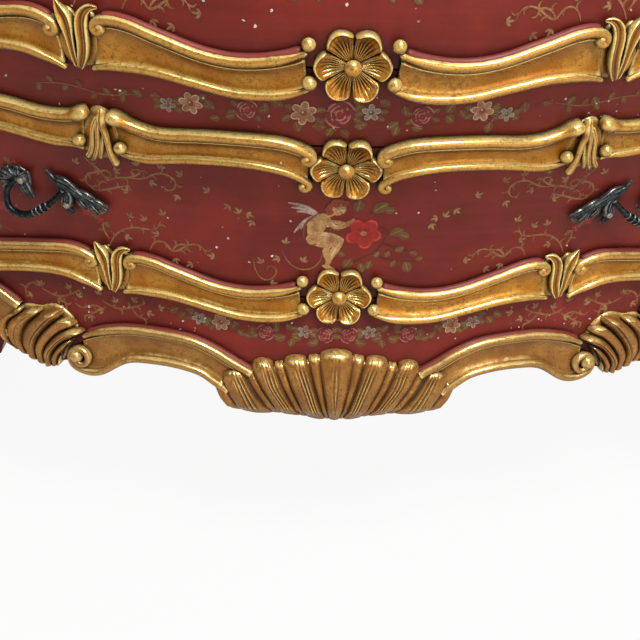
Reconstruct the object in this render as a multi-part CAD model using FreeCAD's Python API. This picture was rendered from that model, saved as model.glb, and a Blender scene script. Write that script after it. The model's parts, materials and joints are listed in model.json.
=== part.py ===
"""Bombe chest of two drawers with carved and gilded mouldings, modelled piece by piece.

Frame: millimetres, +Z up, the front faces -Y, origin on the floor under the middle of the chest.
The front, the sides and the posts all follow the same swelling profile, so that every piece that
is set on the front takes its place from front_y and every piece on a side from side_x.
"""

import FreeCAD
import Part
import math
import os

V = FreeCAD.Vector

# Case
HEIGHT = 816.0             # floor to the upper face of the top board
TOP_BOARD = 24.0           # thickness of the top board
CASE_DEPTH = 380.0         # reference plane of the front to the back edge
CASE_HALF_WIDTH = 500.0    # middle of the chest to the reference plane of a side
FRONT_WALL = 24.0          # rails, apron and drawer fronts, measured along Y
SIDE_WALL = 20.0           # side panels, measured along X
BACK_PANEL = 10.0
BACK_RECESS = 6.0          # back panel inside the rear edge of the case
BACK_DROP = 44.0           # back panel's lower edge under the lower opening
OVERHANG = 20.0            # top board past the case

# Swell of the case: a belly, a knee, an ankle and a foot, each a smooth bump over the height
BELLY = 58.0
BELLY_SHARE = 0.66         # height of the belly, as a share of the drawers' part of the case
BELLY_SPREAD_SHARE = 0.39
KNEE = 16.0
KNEE_ABOVE = 3.0           # knee above the apron's level
KNEE_SPREAD = 85.0
ANKLE = -9.0
ANKLE_SHARE = 0.4          # height of the ankle, as a share of the apron's level
ANKLE_SPREAD = 55.0
FOOT = 44.0
FOOT_SPREAD = 45.0
SIDE_SHARE = 0.75          # share of the front's swell that a side has
BOW = 88.0                 # serpentine bow of the front in plan
BOW_PAST = 20.0            # end of the bow past the reference plane of a side
SIDE_BOW = 16.0            # bow of a side in plan

# Posts and legs
POST_WIDTH = 55.0          # inner face of the posts to the reference plane of a side
POST_DEPTH = 55.0          # front posts behind the reference plane
REAR_POST = 45.0           # rear posts along Y
ANKLE_WIDTH = 46.0
REAR_ANKLE_WIDTH = 36.0
KNEE_TOP_ABOVE = 24.0      # where the posts turn into legs, above the apron's level
NOSE = 0.2                 # roundness of a post's corner, as a share of its chord

# Drawers
OPENING_SHARE = 0.4216     # lower edge of the lower opening, as a share of the height
MIDDLE_RAIL = 69.0         # height of the rail between the drawers
TOP_RAIL = 51.0            # height of the rail above the drawers
DRAWER_GAP = 2.0           # gap round a drawer's front
DRAWER_SIDE = 12.0
DRAWER_BOTTOM = 8.0
DRAWER_SIDE_DROP = 22.0    # drawer sides below the upper edge of the front
DRAWER_BOTTOM_RISE = 10.0  # drawer bottom above the lower edge of the sides
DRAWER_BACK_DROP = 12.0    # drawer back below the upper edge of the sides
GROOVE = 6.0               # depth of the groove that holds the drawer bottom
GROOVE_PLAY = 0.2
DRAWER_INSET = 23.0        # drawer sides inside the faces of the posts
STOP_GAP = 0.5             # drawer back to its stops

# Runners and boards inside the case
RUN_PLAY = 0.3             # running clearance under a drawer
GUIDE_PLAY = 1.0           # running clearance beside a drawer
RUNNER_THICK = 21.0
RUNNER_IN = 22.0           # runner under the drawer side, towards the middle
RUNNER_OUT = 25.0          # runner behind the posts
GUIDE_HEIGHT = 20.0
DUST_BOARD = 8.0
BOTTOM_BOARD = 12.0
STOP_SIZE = 15.0
BLOCK_SIZE = 28.0          # glue blocks under the bottom board
SEAT = 0.3                 # clearance under pieces set on a curved face

# Carved mouldings
BEAD_RISE = 15.0           # upper bead above the face
BEAD_SHARE = 0.36          # share of the moulding's width that is the upper bead
COVE_RISE = 5.5
LOW_BEAD_RISE = 11.0
LOW_BEAD_SHARE = 0.26
CLASP_SHARE = 0.4898       # leaf clasps, as a share of the drawer's half width
CLASP_BREAK = 15.0         # half of the break in the moulding at a clasp
CLASP_HALF = 11.8          # half of a clasp's width
ROSETTE_R = 32.0
ROSETTE_RISE = 20.0
ROSETTE_BREAK = 37.0       # moulding's end from the middle of a rosette
PETALS = 6

# Apron: heights are counted from its level, APRON_LOW
APRON_DROP = 132.0         # apron's level under the lower opening
SHELL_HALF = 121.0
SHELL_LOW = 0.0
SHELL_HIGH = 78.0
SHELL_SIDE = 46.0          # height of the shell's outer lobes
SHELL_RISE = 22.0
LEAF_SHARE = 0.58          # leaf carving, on the way from the shell to the post
LEAF_RISE = 18.0
SIDE_APRON = 24.0          # lower corners of the side panels
SIDE_ARCH = 34.0
SIDE_ARCH_INSET = 34.0

# Carvings of the posts
KNEE_CARVING_TOP_DROP = 9.0   # upper end of a knee carving under the lower opening
KNEE_CARVING_LOW_DROP = 57.0  # its lower end under the apron's level
KNEE_CARVING_RISE = 13.0
KNEE_CARVING_SEAT = 1.0       # clearance under it
DROP_RISE = 11.0

# Bed moulding under the top board
BED_HEIGHT = 20.0
BED_FOOT = 4.0
BED_HEAD = 17.0

# Drawer pulls
PULL_SHARE_X = 0.632       # pull's middle, as a share of the drawer's half width
PULL_SHARE_Z = 0.5625      # and of the drawer front's height
PULL_SEAT = 1.0
PULL_REACH = 27.0          # bail above the drawer front
BAIL_R = 4.2
MOUNT_RISE = 8.0
SCREW_R = 1.8
SCREW_HOLE_PLAY = 0.2
SCREW_HEAD_R = 3.6
SCREW_HEAD = 2.4
SCREW_LENGTH = 18.0

CASE_TOP = HEIGHT - TOP_BOARD
POST_X = CASE_HALF_WIDTH - POST_WIDTH
BOW_SPAN = CASE_HALF_WIDTH + BOW_PAST
OPENING_LOW = HEIGHT * OPENING_SHARE
OPENING_HEIGHT = (CASE_TOP - TOP_RAIL - MIDDLE_RAIL - OPENING_LOW) / 2
BELLY_Z = OPENING_LOW + BELLY_SHARE * (CASE_TOP - OPENING_LOW)
BELLY_SPREAD = BELLY_SPREAD_SHARE * (CASE_TOP - OPENING_LOW)
DRAWER_PITCH = OPENING_HEIGHT + MIDDLE_RAIL
DRAWER_FRONT_HEIGHT = OPENING_HEIGHT - 2 * DRAWER_GAP
DRAWER_FRONT_Z = OPENING_LOW + DRAWER_GAP
DRAWER_FRONTS = {"lower": DRAWER_FRONT_Z, "upper": DRAWER_FRONT_Z + DRAWER_PITCH}
DRAWER_HALF = POST_X - DRAWER_GAP
DRAWER_X = POST_X - DRAWER_INSET
CLASP_X = CLASP_SHARE * DRAWER_HALF
PULL_X = PULL_SHARE_X * DRAWER_HALF
APRON_LOW = OPENING_LOW - APRON_DROP
APRON_SPAN = POST_X - SHELL_HALF
SIDE_APRON_LOW = APRON_LOW + SIDE_APRON
KNEE_TOP = APRON_LOW + KNEE_TOP_ABOVE
KNEE_Z = APRON_LOW + KNEE_ABOVE
ANKLE_Z = APRON_LOW * ANKLE_SHARE
INNER_ENDS = (ROSETTE_BREAK, CLASP_X - CLASP_BREAK)
OUTER_ENDS = (CLASP_X + CLASP_BREAK, DRAWER_HALF)
APRON_ENDS = (SHELL_HALF, POST_X)

# Centre lines of the drawer mouldings: (share of the way along, height against the drawer's edge, width)
TOP_INNER = [(0, -15, 37), (0.11, -8, 37), (0.29, -4, 35), (0.47, -4, 34), (0.65, -5, 35), (0.79, -6, 38),
             (0.9, -3, 42), (1, 1, 46)]
TOP_OUTER = [(0, 3, 40), (0.08, 2, 38), (0.18, 4, 37), (0.32, 10, 36), (0.51, 12, 35), (0.7, 10, 35), (0.84, 6, 35),
             (1, -1, 35)]
LOW_INNER = [(0, -2, 39), (0.11, -7, 39), (0.26, -10, 38), (0.41, -8, 36), (0.56, -2, 36), (0.71, 5, 39),
             (0.87, 10, 45), (1, 9, 46)]
LOW_OUTER = [(0, 5, 41), (0.06, 11, 41), (0.14, 16, 41), (0.25, 16, 38), (0.42, 13, 36), (0.61, 9, 36), (0.8, 9, 37),
             (1, 14, 37)]
TOP_ROSETTE_DROP = -18.0
LOW_ROSETTE_DROP = 3.0

# Lower edge of the apron and its mouldings: (share of the way from the shell to the post, height above
# APRON_LOW, width)
APRON_EDGE = [(0.005, 37), (0.08, 47), (0.145, 50), (0.21, 50), (0.275, 47), (0.312, 41), (0.343, 34), (0.383, 28),
              (0.423, 27), (0.481, 33), (0.54, 27), (0.583, 27), (0.63, 38), (0.679, 51), (0.713, 61), (0.756, 73),
              (0.806, 79), (0.855, 79), (0.917, 71), (0.966, 57), (1, 44)]
APRON_INNER = [(0.007, 54, 39), (0.06, 61, 40), (0.136, 65, 40), (0.213, 66, 41), (0.27, 64, 42), (0.312, 60, 44),
               (0.355, 53, 47), (0.398, 48, 49), (0.435, 47, 46)]
APRON_OUTER = [(0.701, 84, 43), (0.738, 92, 42), (0.787, 97, 40), (0.849, 97, 39), (0.923, 88, 38), (0.999, 64, 38)]


def bump(z, middle, spread):
    """A smooth bump of height 1."""
    return math.exp(-((z - middle) / spread) ** 2)


def swell(z):
    """How far the case stands out at a height."""
    return (BELLY * bump(z, BELLY_Z, BELLY_SPREAD) + KNEE * bump(z, KNEE_Z, KNEE_SPREAD)
            + ANKLE * bump(z, ANKLE_Z, ANKLE_SPREAD) + FOOT * bump(z, 0, FOOT_SPREAD))


def bow(x):
    """How far the front stands out in plan."""
    return BOW * (1 + math.cos(math.pi * min(abs(x), BOW_SPAN) / BOW_SPAN)) / 2


FURTHEST_ROSETTE_Z = DRAWER_FRONTS["upper"] + LOW_ROSETTE_DROP
BACK_Y = (CASE_DEPTH + BOW + swell(FURTHEST_ROSETTE_Z) + SEAT + ROSETTE_RISE) / 2
FRONT_Y = BACK_Y - CASE_DEPTH
POST_Y = FRONT_Y + POST_DEPTH
REAR_POST_Y = BACK_Y - REAR_POST
INSIDE_BACK_Y = BACK_Y - BACK_RECESS - BACK_PANEL
DRAWER_BACK_Y = INSIDE_BACK_Y - STOP_SIZE - STOP_GAP


def front_y(x, z):
    """The outer face of the front."""
    return FRONT_Y - bow(x) - swell(z)


def side_x(y, z):
    """The outer face of a side, as a distance from the middle."""
    middle = (POST_Y + REAR_POST_Y) / 2
    half = (REAR_POST_Y - POST_Y) / 2
    share = min(abs(y - middle) / half, 1.0)
    return CASE_HALF_WIDTH + SIDE_SHARE * swell(z) + SIDE_BOW * (1 + math.cos(math.pi * share)) / 2


def slope(function, at, step=0.5):
    """The slope of a function of one value."""
    return (function(at + step) - function(at - step)) / (2 * step)


def on_front(x, z, rise=0.0):
    """A point above the front's face, along its normal."""
    normal = V(slope(lambda a: front_y(a, z), x), -1, slope(lambda a: front_y(x, a), z)).normalize()
    return V(x, front_y(x, z), z) + normal * rise


def on_side(y, z, rise=0.0):
    """A point above the face of the side at +X, along its normal."""
    normal = V(1, -slope(lambda a: side_x(a, z), y), -slope(lambda a: side_x(y, a), z)).normalize()
    return V(side_x(y, z), y, z) + normal * rise


def between(whole, slim, share):
    """A value part of the way from one to another."""
    return whole + (slim - whole) * share


def spaced(start, end, step):
    """Evenly spaced values from start to end, about a step apart."""
    count = max(3, math.ceil(abs(end - start) / step))
    return [start + (end - start) * i / count for i in range(count + 1)]


def curve(points):
    """One smooth edge through points."""
    line = Part.BSplineCurve()
    line.interpolate(points)
    return line.toShape()


def closed_curve(points):
    """One smooth closed outline through points."""
    line = Part.BSplineCurve()
    line.interpolate(points, PeriodicFlag=True)
    return Part.Wire([line.toShape()])


def segment(start, end):
    """A straight edge."""
    return Part.LineSegment(start, end).toShape()


def arc(start, middle, end):
    """A circular edge through three points."""
    return Part.Arc(start, middle, end).toShape()


def box(x0, x1, y0, y1, z0, z1):
    """A straight block between two corners."""
    return Part.makeBox(x1 - x0, y1 - y0, z1 - z0, V(x0, y0, z0))


def mirrored(shape):
    """The same piece on the other side of the chest."""
    return shape.mirror(V(0, 0, 0), V(1, 0, 0))


def pair(shape):
    """A piece and its mirror image, as two solids."""
    return [shape, mirrored(shape)]


def solids(shapes):
    """Several separate solids as one group."""
    return Part.makeCompound([s for shape in shapes for s in shape.Solids])


def loft(wires, ruled=False):
    """A closed solid through outlines."""
    return Part.makeLoft(wires, True, ruled)


# Pieces cut from the swelling front


def front_block(x0, x1, z0, z1, proud=0.0, deep=FRONT_WALL):
    """A slice of the front's wall, from proud of the face to deep behind it, along Y."""
    sections = []
    heights = spaced(z0, z1, 30)
    for x in spaced(x0, x1, 60):
        outer = [V(x, front_y(x, z) - proud, z) for z in heights]
        inner = [V(x, front_y(x, z) + deep, z) for z in reversed(heights)]
        sections.append(Part.Wire([curve(outer), segment(outer[-1], inner[0]), curve(inner),
                                   segment(inner[-1], outer[0])]))
    return loft(sections)


def front_prism(outline):
    """An outline in the XZ plane, carried through the whole swell of the front."""
    reach = BOW + BELLY + KNEE + FOOT + SHELL_RISE + FRONT_WALL
    face = Part.Face(outline)
    face.translate(V(0, FRONT_Y - reach, 0))
    return face.extrude(V(0, reach + FRONT_WALL + POST_DEPTH, 0))


def relief(outline, rise, seat=SEAT):
    """A carving of even rise that lies on the front inside an outline in the XZ plane."""
    bounds = outline.BoundBox
    margin = 4.0
    block = front_block(bounds.XMin - margin, bounds.XMax + margin, bounds.ZMin - margin, bounds.ZMax + margin,
                        proud=rise, deep=-seat)
    return block.common(front_prism(outline))


def moulding_section(place, width):
    """The closed outline of a moulding: bead, fillet, cove and lower bead, on a seat that follows the face."""
    half = width / 2
    bead_in = half - width * BEAD_SHARE
    step_in = bead_in - width * 0.05
    low_in = -half + width * LOW_BEAD_SHARE
    corner = [place(half, SEAT), place(half, BEAD_RISE * 0.5), place(bead_in, BEAD_RISE * 0.62),
              place(step_in, COVE_RISE + 1.5), place(low_in, LOW_BEAD_RISE * 0.72),
              place(-half, LOW_BEAD_RISE * 0.5), place(-half, SEAT)]
    return Part.Wire([
        segment(corner[0], corner[1]),
        arc(corner[1], place((half + bead_in) / 2, BEAD_RISE), corner[2]),
        segment(corner[2], corner[3]),
        arc(corner[3], place((step_in + low_in) / 2, COVE_RISE), corner[4]),
        arc(corner[4], place((low_in - half) / 2, LOW_BEAD_RISE), corner[5]),
        segment(corner[5], corner[6]),
        arc(corner[6], place(0, SEAT), corner[0]),
    ])


def section_place(on_face, a, z, across, width):
    """A flat plane across a moulding: a function that places (offset, rise) points in it."""
    middle = on_face(a, z)
    out = (on_face(a, z, 1.0) - middle).normalize()
    edges = [on_face(a + across[0] * off, z + across[1] * off) for off in (-width / 2, width / 2)]
    along = edges[1] - edges[0]
    along = (along - out * along.dot(out)).normalize()
    dips = [(edge - middle).dot(out) for edge in edges]

    def place(offset, rise):
        share = offset / (width / 2)
        dip = (dips[0] + dips[1]) / 2 * share * share + (dips[1] - dips[0]) / 2 * share
        return middle + along * offset + out * (rise + dip)

    return place


def moulding(points, on_face, step=22):
    """A moulding that lies on a face along (place, height, width) points, with upright ends."""
    route = Part.BSplineCurve()
    route.interpolate([V(a, width, z) for a, z, width in points])
    sections = []
    for share in spaced(0.0, 1.0, step / abs(points[-1][0] - points[0][0])):
        at = between(route.FirstParameter, route.LastParameter, share)
        middle = route.value(at)
        along = route.tangent(at)[0]
        run = math.hypot(along.x, along.z)
        square_end = share in (0.0, 1.0)
        across = (0.0, 1.0) if square_end else (-along.z / run, along.x / run)
        sections.append(moulding_section(section_place(on_face, middle.x, middle.z, across, middle.y), middle.y))
    return loft(sections)


# Case


def leg_share(z):
    """0 where a post is whole, rising smoothly to 1 at the ankle and below."""
    share = min(max((KNEE_TOP - z) / (KNEE_TOP - ANKLE_Z), 0.0), 1.0)
    return share * share * (3 - 2 * share)


def post_corner(z):
    """The two ends and the nose of a front post's rounded corner at a height, and its inner corner."""
    share = leg_share(z)
    front = front_y(POST_X, z)
    side = side_x(POST_Y, z)
    inner = V(between(POST_X, side - ANKLE_WIDTH, share), between(POST_Y, front + ANKLE_WIDTH, share), z)
    first = V(inner.x, front, z)
    last = V(side, inner.y, z)
    chord = last - first
    outward = V(chord.y, -chord.x, 0).normalize()
    nose = (first + last) * 0.5 + outward * (NOSE * chord.Length)
    return first, nose, last, inner


def leg_and_post(section):
    """A leg and the post above it in one piece, from a function that draws the outline at a height."""
    leg = loft([section(z) for z in spaced(0.0, KNEE_TOP, 25)])
    post = loft([section(z) for z in spaced(KNEE_TOP, CASE_TOP, 60)])
    return leg.fuse(post)


def front_post_section(z):
    """Outline of a front post or its cabriole leg, at +X."""
    first, nose, last, inner = post_corner(z)
    return Part.Wire([arc(first, nose, last), segment(last, inner), segment(inner, first)])


def rear_post_section(z):
    """Outline of a rear post or its leg, at +X."""
    share = leg_share(z)
    side = side_x(REAR_POST_Y, z)
    inner_x = between(POST_X, side - REAR_ANKLE_WIDTH, share)
    inner_y = between(REAR_POST_Y, BACK_Y - REAR_ANKLE_WIDTH, share)
    corners = [V(inner_x, inner_y, z), V(side, inner_y, z), V(side, BACK_Y, z), V(inner_x, BACK_Y, z)]
    return Part.makePolygon(corners + corners[:1])


def side_panel():
    """Bowed side panel with an arched lower edge, at +X."""
    heights = spaced(SIDE_APRON_LOW, CASE_TOP, 40)
    sections = []
    for y in spaced(POST_Y, REAR_POST_Y, 40):
        outer = [V(side_x(y, z), y, z) for z in heights]
        inner = [V(side_x(y, z) - SIDE_WALL, y, z) for z in reversed(heights)]
        sections.append(Part.Wire([curve(outer), segment(outer[-1], inner[0]), curve(inner),
                                   segment(inner[-1], outer[0])]))
    start = V(0, POST_Y + SIDE_ARCH_INSET, SIDE_APRON_LOW)
    end = V(0, REAR_POST_Y - SIDE_ARCH_INSET, SIDE_APRON_LOW)
    crest = V(0, (start.y + end.y) / 2, SIDE_APRON_LOW + SIDE_ARCH)
    arch = Part.Face(Part.Wire([arc(start, crest, end), segment(end, start)]))
    return loft(sections).cut(arch.extrude(V(CASE_HALF_WIDTH + BELLY + SIDE_BOW, 0, 0)))


def side_arch_height(y):
    """The side panel's lower edge."""
    half = (REAR_POST_Y - POST_Y) / 2 - SIDE_ARCH_INSET
    radius = (half * half + SIDE_ARCH * SIDE_ARCH) / (2 * SIDE_ARCH)
    off = min(abs(y - (POST_Y + REAR_POST_Y) / 2), half)
    return SIDE_APRON_LOW + SIDE_ARCH - radius + math.sqrt(radius * radius - off * off)


def back_panel():
    """Flat board between the rear posts."""
    return box(-POST_X, POST_X, BACK_Y - BACK_RECESS - BACK_PANEL, BACK_Y - BACK_RECESS, OPENING_LOW - BACK_DROP,
               CASE_TOP)


def apron_outline():
    """The apron board in the XZ plane: straight above, shaped below."""
    right = [V(0, 0, APRON_LOW + 12), V(SHELL_HALF * 0.6, 0, APRON_LOW + 14)]
    right += [V(between(*APRON_ENDS, share), 0, APRON_LOW + rise) for share, rise in APRON_EDGE]
    left = [V(-p.x, 0, p.z) for p in reversed(right[1:])]
    top = [V(POST_X, 0, OPENING_LOW), V(-POST_X, 0, OPENING_LOW)]
    return Part.Wire([curve(left + right), segment(right[-1], top[0]), segment(top[0], top[1]),
                      segment(top[1], left[0])])


def apron():
    """Front apron under the lower drawer."""
    return front_block(-POST_X, POST_X, APRON_LOW - 8, OPENING_LOW).common(front_prism(apron_outline()))


def shaped_board(half, z0, z1, back, setback):
    """A flat board whose front edge follows the inside of the front's wall."""
    edge = []
    for x in spaced(-half, half, 60):
        edge.append(V(x, max(front_y(x, z0), front_y(x, z1)) + setback, z0))
    corners = [V(half, back, z0), V(-half, back, z0)]
    outline = Part.Wire([curve(edge), segment(edge[-1], corners[0]), segment(corners[0], corners[1]),
                         segment(corners[1], edge[0])])
    return Part.Face(outline).extrude(V(0, 0, z1 - z0))


def runner(drawer_z):
    """Runner under one side of a drawer, between the posts, at +X."""
    top = drawer_z - RUN_PLAY
    return box(DRAWER_X - RUNNER_IN, POST_X + RUNNER_OUT, POST_Y, REAR_POST_Y, top - RUNNER_THICK, top)


def guide(drawer_z):
    """Guide strip beside a drawer, on its runner, at +X."""
    low = drawer_z - RUN_PLAY
    return box(DRAWER_X + GUIDE_PLAY, POST_X + RUNNER_OUT, POST_Y, REAR_POST_Y, low, low + GUIDE_HEIGHT)


def drawer_stop(drawer_z):
    """Stop block on a runner behind the drawer, at +X."""
    low = drawer_z - RUN_PLAY
    start = DRAWER_BACK_Y + STOP_GAP
    return box(DRAWER_X - RUNNER_IN, DRAWER_X - RUNNER_IN + STOP_SIZE, start, start + STOP_SIZE, low,
               low + STOP_SIZE)


def glue_block(y):
    """Block that braces the bottom board against the apron and the back, at +X."""
    top = DRAWER_FRONT_Z - RUN_PLAY - RUNNER_THICK - BOTTOM_BOARD
    return box(POST_X - BLOCK_SIZE, POST_X, y, y + BLOCK_SIZE, top - BLOCK_SIZE, top)


def plan_outline(z, off, swell_z=None, past_back=0.0):
    """The case in plan at a height, grown by an offset on the front and the sides."""
    level = z if swell_z is None else swell_z
    first, nose, last, inner = post_corner(level)
    diagonal = (nose - inner).normalize()
    back = BACK_Y + past_back
    front = [V(x, front_y(x, level) - off, z) for x in spaced(-POST_X, POST_X, 60)]
    corner = V(nose.x, nose.y, z) + V(diagonal.x, diagonal.y, 0) * off
    depths = spaced(POST_Y, REAR_POST_Y, 40)
    right = [V(side_x(y, level) + off, y, z) for y in depths]
    left = [V(-p.x, p.y, z) for p in reversed(right)]
    corners = [V(right[-1].x, back, z), V(-right[-1].x, back, z)]
    return Part.Wire([curve(front), arc(front[-1], corner, right[0]), curve(right),
                      segment(right[-1], corners[0]), segment(corners[0], corners[1]),
                      segment(corners[1], left[0]), curve(left), arc(left[-1], V(-corner.x, corner.y, z), front[0])])


def top_board():
    """Top board with a rounded edge."""
    edge = [(0.0, 0.8), (0.12, 0.92), (0.35, 1.0), (0.65, 1.0), (0.88, 0.93), (1.0, 0.8)]
    return loft([plan_outline(CASE_TOP + TOP_BOARD * rise, OVERHANG * reach, CASE_TOP) for rise, reach in edge],
                ruled=True)


def bed_moulding():
    """Cove moulding under the top board, round the front and the sides."""
    rises = [0.0, 0.3, 0.65, 1.0]
    reaches = [0.0, 0.12, 0.5, 1.0]
    low = CASE_TOP - BED_HEIGHT
    outer = loft([plan_outline(low + BED_HEIGHT * r, between(BED_FOOT, BED_HEAD, reach))
                  for r, reach in zip(rises, reaches)], ruled=True)
    inner = loft([plan_outline(low + BED_HEIGHT * r, SEAT, past_back=BED_HEAD) for r in rises], ruled=True)
    return outer.cut(inner)


# Carvings of the case


def post_carving(stations, rise, seat=SEAT):
    """A carving round the nose of a front post, through (height, half width as a share of the corner)."""
    sections = []
    for z, half in stations:
        first, nose, last, _ = post_corner(z)
        corner = arc(first, nose, last)
        inner, outer = [], []
        for share in (0.5 - half, 0.5, 0.5 + half):
            at = between(corner.FirstParameter, corner.LastParameter, share)
            point = corner.valueAt(at)
            away = (point - corner.Curve.Center).normalize()
            inner.append(point + away * seat)
            outer.append(point + away * (rise if share == 0.5 else rise * 0.45))
        sections.append(Part.Wire([arc(*outer), segment(outer[-1], inner[-1]), arc(*reversed(inner)),
                                   segment(inner[0], outer[0])]))
    return loft(sections)


def knee_carving():
    """Acanthus carving on a knee, at +X."""
    heights = spaced(OPENING_LOW - KNEE_CARVING_TOP_DROP, APRON_LOW - KNEE_CARVING_LOW_DROP, 30)
    count = len(heights) - 1
    return post_carving([(z, 0.10 + 0.24 * math.sin(math.pi * (i + 0.6) / (count + 1.2)))
                         for i, z in enumerate(heights)], KNEE_CARVING_RISE, KNEE_CARVING_SEAT)


def post_drop():
    """Carved drop under the top of a post, at +X."""
    heights = spaced(CASE_TOP - BED_HEIGHT - SEAT, DRAWER_FRONTS["upper"], 34)
    count = len(heights) - 1
    return post_carving([(z, 0.30 - 0.22 * i / count) for i, z in enumerate(heights)], DROP_RISE)


def shell_outline():
    """Scalloped outline of the apron's shell: lobes above, a shallow base below."""
    lobes = 9
    edges = []
    valleys = []
    for i in range(lobes + 1):
        x = SHELL_HALF * (2 * i / lobes - 1)
        share = 1 - (x / SHELL_HALF) ** 2
        valleys.append(V(x, 0, APRON_LOW + between(SHELL_SIDE - 8, SHELL_HIGH - 12, share)))
    for start, end in zip(valleys, valleys[1:]):
        crest = (start + end) * 0.5 + V(0, 0, 9)
        edges.append(arc(start, crest, end))
    base, foot = SHELL_HALF * 0.76, APRON_LOW + SHELL_LOW
    low = [V(base, 0, foot + 5), V(0, 0, foot), V(-base, 0, foot + 5)]
    edges += [segment(valleys[-1], low[0]), arc(*low), segment(low[-1], valleys[0])]
    return Part.Wire(edges)


def leaf_outline():
    """Leaf and volute of the apron, at +X."""
    middle = between(*APRON_ENDS, LEAF_SHARE)
    spread = APRON_SPAN / 324
    around = [(35, 56), (26, 46), (16, 36), (1, 25), (-10, 24), (-19, 27), (-26, 34), (-33, 46), (-38, 60), (-42, 74),
              (-42, 84), (-36, 91), (-28, 96), (-17, 96), (-5, 92), (7, 91), (17, 88), (28, 78), (34, 66)]
    return closed_curve([V(middle + x * spread, 0, APRON_LOW + z) for x, z in around])


# Drawers


def drawer_front(z):
    """Swelling front of a drawer, before its groove and screw holes."""
    return front_block(-DRAWER_HALF, DRAWER_HALF, z, z + DRAWER_FRONT_HEIGHT)


def drawer_bottom(z, play=0.0):
    """Bottom board of a drawer, let into the front and the sides."""
    half = DRAWER_X - DRAWER_SIDE + GROOVE - GROOVE_PLAY + play
    low = z + DRAWER_BOTTOM_RISE
    return shaped_board(half, low - play, low + DRAWER_BOTTOM + play, DRAWER_BACK_Y + play,
                        FRONT_WALL - GROOVE + GROOVE_PLAY - play)


def drawer_side(z, front):
    """Side of a drawer, fitted to the back of its front, at +X."""
    start = front_y(DRAWER_X, z) + FRONT_WALL / 2
    deepest = min(front_y(DRAWER_X - DRAWER_SIDE, a) for a in (z, z + DRAWER_FRONT_HEIGHT)) + FRONT_WALL / 2
    side = box(DRAWER_X - DRAWER_SIDE, DRAWER_X, min(start, deepest), DRAWER_BACK_Y, z,
               z + DRAWER_FRONT_HEIGHT - DRAWER_SIDE_DROP)
    pieces = side.cut(front).cut(drawer_bottom(z, GROOVE_PLAY)).Solids
    return max(pieces, key=lambda piece: piece.Volume)


def drawer_back(z):
    """Back board of a drawer, above its bottom."""
    half = DRAWER_X - DRAWER_SIDE
    top = z + DRAWER_FRONT_HEIGHT - DRAWER_SIDE_DROP - DRAWER_BACK_DROP
    return box(-half, half, DRAWER_BACK_Y - DRAWER_SIDE, DRAWER_BACK_Y, z + DRAWER_BOTTOM_RISE + DRAWER_BOTTOM, top)


def laid_out(points, ends, level):
    """Moulding points between two ends, with their heights counted from a level."""
    return [(between(*ends, share), level + z, width) for share, z, width in points]


def drawer_moulding(inner, outer, edge):
    """The four lengths of one drawer moulding."""
    lengths = [moulding(laid_out(inner, INNER_ENDS, edge), on_front),
               moulding(laid_out(outer, OUTER_ENDS, edge), on_front)]
    return solids([piece for length in lengths for piece in pair(length)])


def frame_at(x, z, seat):
    """A placement on the front: its Z axis leaves the face, its Y axis climbs it."""
    out = (on_front(x, z, 1.0) - on_front(x, z)).normalize()
    along = (V(1, 0, 0) - out * out.x).normalize()
    up = out.cross(along)
    turn = FreeCAD.Matrix(along.x, up.x, out.x, 0, along.y, up.y, out.y, 0, along.z, up.z, out.z, 0, 0, 0, 0, 1)
    place = FreeCAD.Placement(turn)
    place.Base = on_front(x, z, seat)
    return place


def rosette():
    """A flower of cupped petals round a button, lying in its own XY plane."""
    lobe = ROSETTE_R * 0.16
    around = []
    for i in range(PETALS * 4):
        turn = math.pi * i / (PETALS * 2)
        radius = ROSETTE_R - lobe * (1 - abs(math.cos(PETALS * turn / 2)))
        around.append(V(radius * math.cos(turn), radius * math.sin(turn), 0))
    petals = Part.Face(closed_curve(around)).extrude(V(0, 0, ROSETTE_RISE))
    rim, dip, button = ROSETTE_R * 1.1, ROSETTE_R * 0.3, ROSETTE_R * 0.2
    profile = Part.Wire([
        segment(V(0, 0, 0), V(rim, 0, 0)),
        segment(V(rim, 0, 0), V(rim, 0, ROSETTE_RISE * 0.3)),
        arc(V(rim, 0, ROSETTE_RISE * 0.3), V(ROSETTE_R * 0.72, 0, ROSETTE_RISE * 0.68),
            V(dip, 0, ROSETTE_RISE * 0.5)),
        arc(V(dip, 0, ROSETTE_RISE * 0.5), V(button, 0, ROSETTE_RISE * 0.9), V(0, 0, ROSETTE_RISE)),
        segment(V(0, 0, ROSETTE_RISE), V(0, 0, 0)),
    ])
    dome = Part.Face(profile).revolve(V(0, 0, 0), V(0, 0, 1), 360)
    return petals.common(dome)


def rosette_at(z):
    """A rosette on the middle of the front."""
    middle = on_front(0, z)
    out = on_front(0, z, 1.0) - middle
    turns = spaced(0.0, 2 * math.pi, math.pi / 6)
    rim = [on_front(ROSETTE_R * math.cos(t), z + ROSETTE_R * math.sin(t)) for t in turns]
    hollow = max((point - middle).dot(out) for point in rim)
    flower = rosette()
    flower.Placement = frame_at(0, z, SEAT + max(hollow, 0.0))
    return flower


def clasp(edge, upward):
    """Leaf clasp in the break of a moulding: leaves that spread upwards or downwards, at +X."""
    half = CLASP_HALF
    lean = 1 if upward else -1
    around = [(0, -24), (half * 0.75, -20), (half * 0.7, 4), (half, 22), (half * 0.55, 28), (0, 14),
              (-half * 0.55, 28), (-half, 22), (-half * 0.7, 4), (-half * 0.75, -20)]
    return relief(closed_curve([V(CLASP_X + x, 0, edge + lean * z) for x, z in around]), BEAD_RISE)


def drawer_clasps(z):
    """The four clasps of a drawer."""
    high = z + DRAWER_FRONT_HEIGHT
    return solids(pair(clasp(high + 3, False)) + pair(clasp(z + 16, True)))


def pull_frame(z):
    """Where a drawer's right pull sits."""
    return frame_at(PULL_X, z + PULL_SHARE_Z * DRAWER_FRONT_HEIGHT, PULL_SEAT)


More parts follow.
